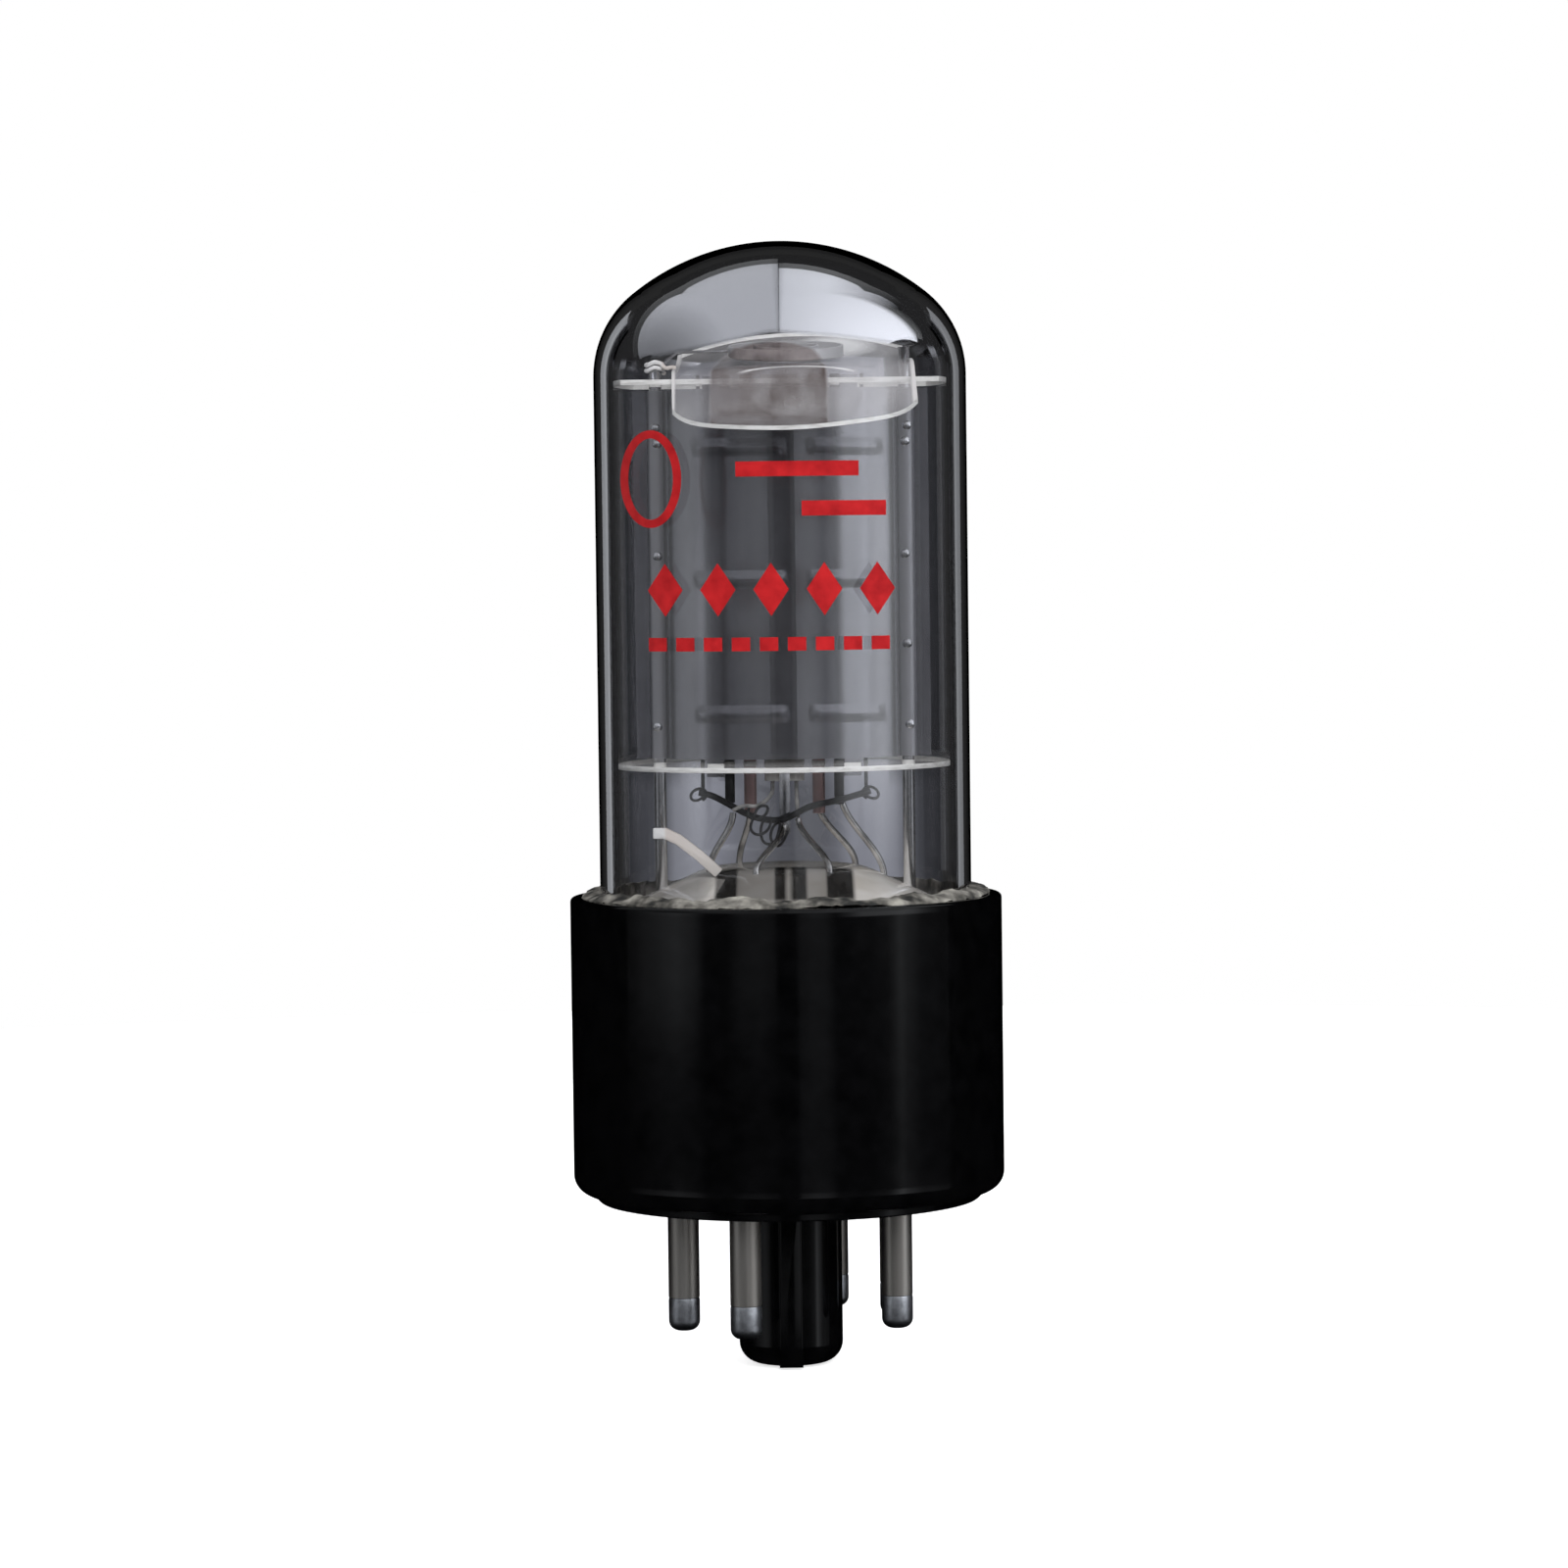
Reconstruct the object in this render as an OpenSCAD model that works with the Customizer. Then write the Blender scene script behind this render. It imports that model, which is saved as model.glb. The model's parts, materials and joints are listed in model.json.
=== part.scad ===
// Beam power pentode on an octal base: glass bulb, moulded base with a guide key,
// plug-in pins and the sealed electrode cage. All sizes are in millimetres.
// The origin is the centre of the base's seating face, and +Z runs up the bulb.

/* [View] */
// the node to draw, or all of them

/* [Base] */
// outside diameter of the moulded base
base_d = 32.8; // [31:0.1:36]
// height of the base from its seating face to its rim
base_h = 23.1; // [21:0.1:28]
// thickness of the base's floor, which holds the pins
floor_t = 3; // [2:0.1:5]
// radius of the rounded lower corner
corner_r = 1.4; // [0.6:0.1:2.2]
// diameter of the seating face inside the step
seat_d = 29.2; // [26:0.1:30]
// height of the step around the seating face
step_h = 0.6; // [0.2:0.1:1]
// bevel on the rim's outer edge
rim_bevel = 0.3; // [0.1:0.05:0.8]
// width of the cement gap between the glass and the base
cement_gap = 0.5; // [0.3:0.05:0.9]
// height of the cement bead above the rim
bead_h = 0.55; // [0.2:0.05:1]

/* [Key] */
// diameter of the guide key
key_d = 7.9; // [7:0.1:8.6]
// length of the key below the seating face
key_l = 12.6; // [10:0.1:15]
// width of the key's rib
rib_w = 1.8; // [1:0.1:2.4]
// how far the rib stands proud of the key
rib_out = 1; // [0.5:0.1:1.4]
// rounding at the key's end
key_round = 1.6; // [0.6:0.1:2.2]
// diameter of the hollow inside the key
key_bore_d = 5.2; // [4.8:0.1:5.6]

/* [Pins] */
// diameter of a pin
pin_d = 2.36; // [2.1:0.01:2.6]
// diameter of the circle that the pins stand on
pin_circle_d = 17.45; // [16.5:0.05:18.5]
// length of a pin below the seating face
pin_l = 9.6; // [8:0.1:12]
// wall of the pin's tube
pin_wall = 0.28; // [0.2:0.02:0.4]
// length of the tinned end
tin_l = 2.5; // [1.5:0.1:3.5]
// thickness of the solder around the pin's narrowed end
tin_t = 0.18; // [0.17:0.01:0.2]
// how much wider the pin is inside the base's floor
swell_w = 0.25; // [0.2:0.01:0.35]
// width of the collar inside the base
collar_w = 0.65; // [0.5:0.05:0.8]
// thickness of the collar inside the base
collar_t = 0.4; // [0.2:0.05:0.8]

/* [Bulb] */
// outside diameter of the glass bulb
bulb_d = 28.2; // [27:0.1:29]
// wall of the glass bulb
glass_t = 1; // [0.7:0.05:1.2]
// height of the bulb's open end above the seating face
bulb_foot_z = 18.5; // [17.5:0.1:19.5]
// height where the straight side turns into the dome
dome_z = 62.45; // [62:0.1:66]
// height of the dome over the straight side
dome_h = 10.15; // [9.2:0.05:12]
// radius of the dome's shoulder
shoulder_r = 8; // [6.5:0.1:8.8]
// thickness of the silver getter film inside the dome
film_t = 0.08; // [0.05:0.01:0.12]
// lower edge of the silver getter film
film_z = 65; // [64.6:0.1:69]

/* [Stem] */
// height of the stem's centre
stem_top_z = 25.4; // [24.8:0.1:26]
// radius of the stem's raised centre
stem_flat_r = 4.9; // [4:0.1:5.6]
// radius at the foot of the stem's cone
stem_cone_r = 10.2; // [9.9:0.1:10.8]
// height at the foot of the stem's cone
stem_cone_z = 22.7; // [22.2:0.1:23.2]
// thickness of the stem's glass
stem_t = 2; // [1.6:0.1:2.4]
// outside diameter of the exhaust tube in the key
exhaust_d = 4.4; // [3.6:0.1:4.6]
// length of the exhaust tube below the seating face
exhaust_l = 7.4; // [6:0.1:8]

/* [Micas] */
// thickness of a mica spacer
mica_t = 0.4; // [0.25:0.05:0.5]
// diameter of the micas
mica_d = 25.2; // [24.6:0.1:25.6]
// height of the bottom mica's lower face
mica_low_z = 32.9; // [32.6:0.1:33.6]
// height of the top mica's lower face
mica_top_z = 61.7; // [61:0.1:62]
// depth of the top mica from front to back
mica_top_depth = 10.2; // [10.1:0.05:10.4]
// how far the grid rods and tabs stand above the top mica
top_stub = 0.45; // [0.3:0.05:0.5]
// how far the left anode rod stands above the top mica
rod_top_left = 1.5; // [1.2:0.1:1.8]
// how far the right anode rod stands above the top mica
rod_top_right = 2.5; // [2.1:0.1:2.8]
// clearance around what passes through a mica
mica_clear = 0.03; // [0.01:0.01:0.06]
// thickness of the bowed mica shield
shield_t = 0.22; // [0.15:0.01:0.3]
// width of the bowed mica shield
shield_w = 17.8; // [16:0.1:18.2]
// offset of the shield to the right
shield_x = 0.95; // [0.8:0.05:1.2]
// radius of the shield's rounded front and back edges
shield_r = 11.5; // [11:0.1:11.6]
// how far the shield leans down to the left, in degrees
shield_lean = 2; // [0:0.5:3]
// height of the shield's middle above the top mica
shield_rise = 1.05; // [1:0.01:1.1]
// how far the shield's front edge hangs below the top mica
shield_drop = 4; // [3.6:0.1:4.2]
// height of the shield's back edge above the top mica
shield_back = 3.9; // [3.6:0.1:4]

/* [Anode] */
// thickness of the anode's sheet
sheet_t = 0.25; // [0.18:0.01:0.3]
// half width of the anode across its wings
wing_x = 11.2; // [10.6:0.1:11.6]
// half depth of the anode at its middle
anode_y = 4.75; // [4.5:0.05:4.8]
// gap between the anode and each mica
anode_gap = 0.3; // [0.15:0.05:0.5]
// distance of an anode rod from the middle
anode_rod_x = 9.45; // [9.3:0.05:9.6]
// diameter of an anode rod
anode_rod_d = 0.95; // [0.8:0.05:1]
// height of an embossed rib on the anode
rib_h = 1.1; // [0.8:0.05:1.5]
// how far an embossed rib stands out
rib_proud = 0.3; // [0.15:0.05:0.45]
// heights of the three embossed ribs
rib_levels = [37, 47.1, 57];

/* [Grids and cathode] */
// distance of a control grid rod from the middle
g1_x = 2.6; // [2.5:0.05:2.8]
// diameter of a control grid rod
g1_rod_d = 0.95; // [0.7:0.05:1]
// half depth of the control grid's winding
g1_y = 1.2; // [1.1:0.05:1.3]
// turns of the control grid's winding
g1_turns = 24; // [12:1:26]
// distance of a screen grid rod from the middle
g2_x = 4.15; // [4.1:0.05:4.3]
// diameter of a screen grid rod
g2_rod_d = 0.75; // [0.6:0.05:0.85]
// half depth of the screen grid's winding
g2_y = 2; // [1.8:0.05:2.1]
// turns of the screen grid's winding
g2_turns = 17; // [10:1:18]
// thickness of a grid's wire
grid_wire = 0.16; // [0.1:0.01:0.2]
// half width of the cathode sleeve
cathode_x = 1.5; // [1.3:0.05:1.6]
// half depth of the cathode sleeve
cathode_y = 0.75; // [0.7:0.05:0.85]
// wall of the cathode sleeve
cathode_t = 0.12; // [0.08:0.01:0.16]
// thickness of the cathode's tab
tab_t = 0.12; // [0.1:0.01:0.18]
// thickness of the heater's wire
heater_d = 0.3; // [0.2:0.02:0.32]
// half width of a beam plate's outer side from the middle
beam_x = 6.2; // [6:0.05:6.4]
// half depth of a beam plate
beam_y = 2.9; // [2.7:0.05:3]
// how far the control grid rods hang below the bottom mica
g1_foot = 3.6; // [3.4:0.1:3.7]
// how far the screen grid rods hang below the bottom mica
g2_foot = 2.85; // [2.7:0.05:2.9]

/* [Leads and getter] */
// diameter of a lead wire
lead_d = 0.5; // [0.4:0.02:0.6]
// thickness of the square strip that joins the beam plates
strap_d = 0.5; // [0.4:0.05:0.55]
// how far that strip's ends lie below the bottom mica
strap_drop = 1.9; // [1.8:0.05:2]
// outside radius of the getter's cup
getter_r = 4.4; // [3.6:0.1:4.8]
// inside radius of the getter's cup
getter_hole_r = 2.3; // [1.8:0.1:2.6]
// height of the getter's cup
getter_h = 0.9; // [0.6:0.1:1.1]
// sheet of the getter's cup
getter_t = 0.2; // [0.15:0.01:0.25]
// height of the getter's cup above the top mica
getter_rise = 1.95; // [1.9:0.05:2.2]
// how far the getter's cup sits to the right of the middle
getter_x = 0.5; // [0.3:0.1:0.7]
// how far the getter's cup sits behind the middle
getter_y = 1.7; // [1.5:0.1:1.8]
// tilt of the getter's cup towards the front, in degrees
getter_tilt = 8; // [7:0.5:9]
// width of the strip that carries the getter's cup
strip_w = 0.9; // [0.6:0.1:1.1]

/* [Hidden] */
$fn = 64;
base_r = base_d / 2;
bulb_r = bulb_d / 2;
bulb_in_r = bulb_r - glass_t;
well_r = bulb_r + cement_gap;
cavity_r = bulb_r - 0.6;
seat_r = seat_d / 2;
pin_r = pin_d / 2;
pin_core_r = pin_r - tin_t;
pin_bore_r = pin_r - pin_wall;
pin_circle_r = pin_circle_d / 2;
key_r = key_d / 2;
lead_r = lead_d / 2;
rod_r = anode_rod_d / 2;
g1_r = g1_rod_d / 2;
g2_r = g2_rod_d / 2;
exhaust_r = exhaust_d / 2;
mica_r = mica_d / 2;
mica_low_top = mica_low_z + mica_t;
mica_top_top = mica_top_z + mica_t;
anode_z0 = mica_low_top + anode_gap;
anode_z1 = mica_top_z - anode_gap;
anode_h = anode_z1 - anode_z0;
pins = [2, 3, 4, 5, 7, 8];
eps = 0.01;

// the crown's radius that runs tangent into the shoulder
function crown_r(a, s, b) = (a * a - 2 * a * s + b * b) / (2 * (b - s));
function arc(cx, cy, r, a0, a1, n) =
    [for (i = [0:n]) [cx + r * cos(a0 + (a1 - a0) * i / n), cy + r * sin(a0 + (a1 - a0) * i / n)]];
function dome_line(a, s, b, z, n) =
    let (cr = crown_r(a, s, b), lean = atan2(cr - b, a - s))
    concat(arc(a - s, z, s, 0, lean, n), arc(0, z + b - cr, cr, lean, 90, n));
function pin_angle(k) = 270 + 22.5 + 45 * (k - 1);
function pin_xy(k) = [pin_circle_r * cos(pin_angle(k)), pin_circle_r * sin(pin_angle(k))];
function unit(v) = v / norm(v);
function left_of(v) = [-v[1], v[0]];
// a point of a bent sheet's edge, pushed sideways with a sharp mitre
function edge_point(p, i, s) =
    let (
        last = len(p) - 1,
        a = left_of(unit(i == 0 ? p[1] - p[0] : p[i] - p[i - 1])),
        b = left_of(unit(i == last ? p[last] - p[last - 1] : p[i + 1] - p[i]))
    )
    p[i] + s * (a + b) / (1 + a * b);
function band(p, inner, outer) =
    concat(
        [for (i = [0:len(p) - 1]) edge_point(p, i, outer)],
        [for (i = [len(p) - 1:-1:0]) edge_point(p, i, inner)]
    );
function mirrored(p) = [for (i = [len(p) - 1:-1:0]) [-p[i][0], p[i][1]]];
function ease(t) = t * t * (3 - 2 * t);
// a lazy S from one point to another, upright at both ends
function s_curve(a, b, n) =
    [for (i = [0:n]) let (t = i / n) [
        a[0] + (b[0] - a[0]) * ease(t),
        a[1] + (b[1] - a[1]) * ease(t),
        a[2] + (b[2] - a[2]) * t
    ]];
// the stem's upper surface at a given radius
function stem_z(r) = stem_top_z - (stem_top_z - stem_cone_z) * (r - stem_flat_r) / (stem_cone_r - stem_flat_r);

module between(a, b, r) {
    d = b - a;
    translate(a)
        rotate([0, acos(d[2] / norm(d)), atan2(d[1], d[0])])
            cylinder(h = norm(d), r = r);
}

// a bent wire: straight runs that stop short inside a small knuckle at each bend
module wire(p, r) {
    last = len(p) - 1;
    for (i = [0:last - 1]) {
        u = unit(p[i + 1] - p[i]) * r * 0.3;
        between(i == 0 ? p[0] : p[i] + u, i == last - 1 ? p[last] : p[i + 1] - u, r, $fn = 24);
    }
    for (i = [1:last - 1]) translate(p[i]) sphere(r = r * 1.08, $fn = 24);
}

module slab(z, h) {
    translate([0, 0, z]) linear_extrude(height = h) children();
}

// Base

module base_body() {
    rotate_extrude()
        polygon(concat(
            [[0, 0], [seat_r, 0], [seat_r, step_h]],
            arc(base_r - corner_r, step_h + corner_r, corner_r, -90, 0, 8),
            [
                [base_r, base_h - rim_bevel],
                [base_r - rim_bevel, base_h],
                [well_r, base_h],
                [well_r, bulb_foot_z - 0.5],
                [cavity_r, bulb_foot_z - 0.5],
                [cavity_r, floor_t],
                [0, floor_t]
            ]
        ));
}

module key_body() {
    rotate_extrude()
        polygon(concat(
            [[0, eps], [0, -key_l]],
            arc(key_r - key_round, key_round - key_l, key_round, -90, 0, 8),
            [[key_r, eps]]
        ));
    intersection() {
        translate([-rib_w / 2, -key_r - rib_out, -key_l]) cube([rib_w, key_r + rib_out, key_l + eps]);
        rotate_extrude()
            polygon(concat(
                [[0, eps], [0, -key_l]],
                arc(key_r + rib_out - key_round - 0.6, key_round + 0.6 - key_l, key_round + 0.6, -90, 0, 8),
                [[key_r + rib_out, eps]]
            ));
    }
}

module base_shell() {
    color([0.05, 0.05, 0.055])
        difference() {
            union() {
                base_body();
                key_body();
            }
            translate([0, 0, -key_l + 2]) cylinder(h = key_l + floor_t, d = key_bore_d);
            for (k = pins)
                translate([pin_xy(k)[0], pin_xy(k)[1], -1]) cylinder(h = floor_t + 2, r = pin_r + swell_w);
            for (k = pins)
                translate([pin_xy(k)[0], pin_xy(k)[1], floor_t - collar_t / 2])
                    cylinder(h = collar_t, r = pin_r + collar_w);
        }
}

module basing_cement() {
    color([0.72, 0.70, 0.64])
        rotate_extrude()
            polygon([
                [bulb_r, bulb_foot_z - 0.5],
                [well_r, bulb_foot_z - 0.5],
                [well_r, base_h],
                [well_r + 0.9, base_h],
                [well_r + 0.75, base_h + bead_h * 0.45],
                [well_r + 0.1, base_h + bead_h * 0.9],
                [bulb_r, base_h + bead_h]
            ]);
}

// Pins, one tube each with a tinned end

module pin_tube(k) {
    color([0.66, 0.63, 0.58])
        translate([pin_xy(k)[0], pin_xy(k)[1], 0])
            rotate_extrude()
                polygon([
                    [pin_bore_r, -pin_l + 0.4],
                    [pin_core_r, -pin_l + 0.4],
                    [pin_core_r, -pin_l + tin_l],
                    [pin_r, -pin_l + tin_l],
                    [pin_r, 0],
                    [pin_r + swell_w, 0],
                    [pin_r + swell_w, floor_t - collar_t / 2],
                    [pin_r + collar_w, floor_t - collar_t / 2],
                    [pin_r + collar_w, floor_t + collar_t / 2],
                    [pin_bore_r, floor_t + collar_t / 2]
                ]);
}

module pin_tin(k) {
    end_r = 0.75;
    color([0.74, 0.76, 0.80])
        translate([pin_xy(k)[0], pin_xy(k)[1], 0])
            rotate_extrude()
                polygon(concat(
                    [[lead_r, -pin_l + tin_l - 0.6], [lead_r, -pin_l + 1.6], [0, -pin_l + 1.6], [0, -pin_l]],
                    arc(pin_r - end_r, end_r - pin_l, end_r, -90, 0, 6),
                    [
                        [pin_r, -pin_l + tin_l],
                        [pin_core_r, -pin_l + tin_l],
                        [pin_core_r, -pin_l + 0.4],
                        [pin_bore_r, -pin_l + 0.4],
                        [pin_bore_r, -pin_l + tin_l - 0.6]
                    ]
                ));
}

module pin_2() { pin_tube(2); }
module pin_3() { pin_tube(3); }
module pin_4() { pin_tube(4); }
module pin_5() { pin_tube(5); }
module pin_7() { pin_tube(7); }
module pin_8() { pin_tube(8); }
module tin_2() { pin_tin(2); }
module tin_3() { pin_tin(3); }
module tin_4() { pin_tin(4); }
module tin_5() { pin_tin(5); }
module tin_7() { pin_tin(7); }
module tin_8() { pin_tin(8); }

// Where each lead passes through the stem, and what its upper end meets inside the bulb

stem_xy = [
    [2, [3.3, -5.2]],
    [3, [anode_rod_x, 0]],
    [4, [7.6, 2.6]],
    [5, [-3.6, 5.0]],
    [7, [-5.7, -2.4]],
    [8, [-2.2, -5.8]],
    [1, [5.4, 3.1]]
];
top_end = [
    [2, [1.0, -0.7, mica_low_z - 4]],
    [4, [g2_x + 0.15, g2_r + 0.25, mica_low_z - 2.3]],
    [5, [-g1_x, g1_r + 0.25, mica_low_z - 3.1]],
    [7, [-3.9, -2.2, mica_low_z - 3.4]],
    [8, [-0.05, -cathode_y - tab_t - lead_r - 0.01, mica_low_z - 4.5]],
    [1, [g1_x + 0.02, g1_r + 0.25, mica_low_z - 3.1]]
];
function pick(list, k) = [for (e = list) if (e[0] == k) e[1]][0];
// the whole run of a lead, from inside its pin, up through the glass and into the bulb
function low_line(k) =
    let (s = pick(stem_xy, k), p = pin_xy(k))
    [
        [p[0], p[1], -pin_l + 1.6],
        [p[0], p[1], floor_t + 3.5],
        [s[0], s[1], 16.5]
    ];
function rise(k, n) =
    let (s = pick(stem_xy, k))
    s_curve([s[0], s[1], stem_z(norm(s)) + 0.5], pick(top_end, k), n);

module lead(k) {
    color([0.60, 0.58, 0.56]) wire(concat(low_line(k), rise(k, 5)), lead_r);
}

module lead_2() { lead(2); }
module lead_4() { lead(4); }
module lead_5() { lead(5); }
module lead_7() { lead(7); }
module lead_8() { lead(8); }

// the anode's lead starts under the right rod, inside the stem's glass
module lead_3() {
    color([0.60, 0.58, 0.56])
        wire(concat(low_line(3), [[anode_rod_x, 0, stem_z(anode_rod_x) - 1]]), lead_r);
}

// a spare stem wire that steadies the control grid and stops inside the glass
module spare_lead() {
    s = pick(stem_xy, 1);
    color([0.60, 0.58, 0.56])
        wire(concat([[s[0], s[1], stem_z(norm(s)) - 1.2]], rise(1, 5)), lead_r);
}

// Stem and bulb

module stem() {
    color([0.86, 0.84, 0.80, 0.8])
        difference() {
            union() {
                rotate_extrude()
                    polygon([
                        [0, stem_top_z],
                        [stem_flat_r, stem_top_z],
                        [stem_cone_r, stem_cone_z],
                        [bulb_in_r, bulb_foot_z + 2.2],
                        [bulb_in_r, bulb_foot_z],
                        [bulb_in_r - 0.9, bulb_foot_z],
                        [stem_cone_r - 0.4, stem_cone_z - stem_t],
                        [stem_flat_r - 0.3, stem_top_z - stem_t],
                        [0, stem_top_z - stem_t]
                    ]);
                translate([0, 0, -exhaust_l]) cylinder(h = stem_top_z - stem_t + exhaust_l + eps, r = exhaust_r);
                translate([0, 0, -exhaust_l]) sphere(r = exhaust_r * 1.002);
            }
            translate([0, 0, -exhaust_l]) cylinder(h = stem_top_z - 1 + exhaust_l, r = exhaust_r - 0.9);
            for (k = [2, 4, 5, 7, 8])
                translate([pick(stem_xy, k)[0], pick(stem_xy, k)[1], 15]) cylinder(h = 12, r = lead_r);
            translate([anode_rod_x, 0, 15]) cylinder(h = 10, r = lead_r);
            translate([pick(stem_xy, 1)[0], pick(stem_xy, 1)[1], stem_z(norm(pick(stem_xy, 1))) - 1.2])
                cylinder(h = 5, r = lead_r);
            for (s = [-1, 1])
                translate([s * anode_rod_x, 0, stem_z(anode_rod_x) - 1]) cylinder(h = 5, r = rod_r);
        }
}

module glass_envelope() {
    color([0.55, 0.58, 0.62, 0.35])
        rotate_extrude()
            polygon(concat(
                [[bulb_in_r, bulb_foot_z], [bulb_r, bulb_foot_z]],
                dome_line(bulb_r, shoulder_r, dome_h, dome_z, 20),
                [for (i = [42 - 1:-1:0]) dome_line(bulb_in_r, shoulder_r - glass_t, dome_h - glass_t, dome_z, 20)[i]]
            ));
}

// the silver film that the getter left inside the dome
module getter_flash() {
    color([0.80, 0.81, 0.83])
        intersection() {
            rotate_extrude()
                polygon(concat(
                    dome_line(bulb_in_r, shoulder_r - glass_t, dome_h - glass_t, dome_z, 20),
                    [for (i = [41:-1:0])
                        dome_line(bulb_in_r - film_t, shoulder_r - glass_t - film_t, dome_h - glass_t - film_t,
                            dome_z, 20)[i]]
                ));
            translate([0, 0, film_z]) cylinder(h = 20, r = bulb_r);
        }
}

// Micas, with the holes for everything that passes through them

module mica_holes(top) {
    for (s = [-1, 1]) {
        translate([s * anode_rod_x, 0]) circle(r = rod_r + mica_clear);
        translate([s * g1_x, 0]) circle(r = g1_r + mica_clear);
        translate([s * g2_x, 0]) circle(r = g2_r + mica_clear);
        translate([s * beam_x, 0])
            square([sheet_t + 2 * mica_clear, 1.2 + 2 * mica_clear], center = true);
        for (t = [0, 1]) mirror([0, t, 0]) tab_outline(s, mica_clear);
    }
    sleeve_line(mica_clear);
}

module bottom_mica() {
    color([0.86, 0.85, 0.82, 0.85])
        slab(mica_low_z, mica_t)
            difference() {
                circle(r = mica_r);
                mica_holes(false);
            }
}

module top_mica() {
    color([0.86, 0.85, 0.82, 0.85])
        slab(mica_top_z, mica_t)
            difference() {
                intersection() {
                    circle(r = mica_r);
                    square([mica_d + 1, mica_top_depth], center = true);
                }
                mica_holes(true);
            }
}

// the bowed shield's line from front to back, as y and z
shield_edge = shield_r + 0.1;
shield_line = [
    [-shield_edge, mica_top_top - shield_drop],
    [-0.64 * shield_edge, mica_top_top - 0.6 * shield_drop],
    [-mica_top_depth / 2 - 0.25, mica_top_top + 0.38 * shield_rise],
    [-mica_top_depth / 2 + 0.9, mica_top_top + 0.72 * shield_rise],
    [0, mica_top_top + shield_rise],
    [0.345 * shield_edge, mica_top_top + shield_rise + 0.65],
    [0.64 * shield_edge, mica_top_top + 0.62 * shield_back],
    [shield_edge, mica_top_top + shield_back]
];

module mica_shield() {
    color([0.90, 0.89, 0.87, 0.8])
        difference() {
            translate([shield_x, 0, mica_top_top + 0.9])
                rotate([0, -shield_lean, 0])
                    intersection() {
                        translate([-shield_w / 2, 0, -mica_top_top - 0.9])
                            rotate([90, 0, 90])
                                linear_extrude(height = shield_w)
                                    polygon(band(shield_line, 0, shield_t));
                        translate([0, 0, -10]) cylinder(h = 20, r = shield_r);
                    }
            translate([anode_rod_x, 0, mica_top_z - 1.7]) cylinder(h = 6, r = rod_r + 0.1);
        }
}

// Anode: two pressed shells that meet on the rods

anode_line = [
    [wing_x, -sheet_t / 2],
    [8.75, -sheet_t / 2],
    [8.35, -2.1],
    [6.0, 1.05 - anode_y],
    [4.2, 0.35 - anode_y],
    [1.35, -anode_y],
    [0.95, 0.35 - anode_y],
    [-0.95, 0.35 - anode_y],
    [-1.35, -anode_y],
    [-4.2, 0.35 - anode_y],
    [-6.0, 1.05 - anode_y],
    [-8.35, -2.1],
    [-8.75, -sheet_t / 2],
    [-wing_x, -sheet_t / 2]
];
rib_spans = [[-6.3, 0.2], [2.1, 7.4]];
weld_levels = [37.3, 43.0, 49.5, 57.6];
tab_x = 5.1;

// a tab of the anode's sheet that passes through a mica, seen from above
module tab_outline(s, grow) {
    intersection() {
        polygon(band(anode_line, -sheet_t / 2 - grow, sheet_t / 2 + grow));
        translate([s * tab_x - 0.6 - grow, -10]) square([1.2 + 2 * grow, 9]);
    }
}

module rib_span(span) {
    translate([span[0], -10]) square([span[1] - span[0], 9.5]);
}

module anode_half() {
    difference() {
        union() {
            slab(anode_z0, anode_h)
                difference() {
                    union() {
                        polygon(band(anode_line, -sheet_t / 2, sheet_t / 2));
                        for (s = [-1, 1]) translate([s * anode_rod_x, 0]) circle(r = rod_r + sheet_t);
                    }
                    for (s = [-1, 1]) translate([s * anode_rod_x, 0]) circle(r = rod_r);
                    translate([-15, 0]) square([30, 5]);
                }
            for (z = rib_levels)
                for (span = rib_spans)
                    slab(z - rib_h / 2, rib_h)
                        intersection() {
                            polygon(band(anode_line, -sheet_t / 2 + eps, sheet_t / 2 + rib_proud));
                            rib_span(span);
                        }
            for (s = [-1, 1]) {
                slab(mica_low_z - 0.6, anode_z0 + 0.9 - mica_low_z) tab_outline(s, 0);
                slab(anode_z1 - 0.3, mica_top_top + 0.5 - anode_z1) tab_outline(s, 0);
            }
        }
        for (z = rib_levels)
            for (span = rib_spans)
                slab(z - rib_h / 2 + 0.25, rib_h - 0.5)
                    intersection() {
                        polygon(band(anode_line, -sheet_t, rib_proud - sheet_t / 2 + 0.03));
                        rib_span([span[0] + 0.25, span[1] - 0.25]);
                    }
    }
}

module anode_front() {
    color([0.40, 0.40, 0.42]) anode_half();
}

module anode_back() {
    color([0.36, 0.36, 0.38]) mirror([0, 1, 0]) anode_half();
}

module anode_rod(s, top) {
    z0 = stem_z(anode_rod_x) - 1;
    color([0.70, 0.70, 0.72])
        translate([s * anode_rod_x, 0, z0]) cylinder(h = top - z0, r = rod_r);
}

module anode_rod_left() { anode_rod(-1, mica_top_top + rod_top_left); }
module anode_rod_right() { anode_rod(1, mica_top_top + rod_top_right); }

// Beam plates, open towards the cathode

beam_line = [
    [2.6, -beam_y],
    [4.7, -beam_y],
    [beam_x, -1.5],
    [beam_x, 1.5],
    [4.7, beam_y],
    [2.6, beam_y]
];

module beam_plate() {
    slab(anode_z0 + 0.4, anode_h - 0.8) polygon(band(beam_line, -sheet_t / 2, sheet_t / 2));
    translate([beam_x - sheet_t / 2, -0.6, mica_low_z - 2.4])
        cube([sheet_t, 1.2, mica_top_top + top_stub - mica_low_z + 2.4]);
}

module beam_plate_right() {
    color([0.12, 0.12, 0.13]) beam_plate();
}

module beam_plate_left() {
    color([0.12, 0.12, 0.13]) mirror([1, 0, 0]) beam_plate();
}

// Grids: notched side rods with flat turns of wire

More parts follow.
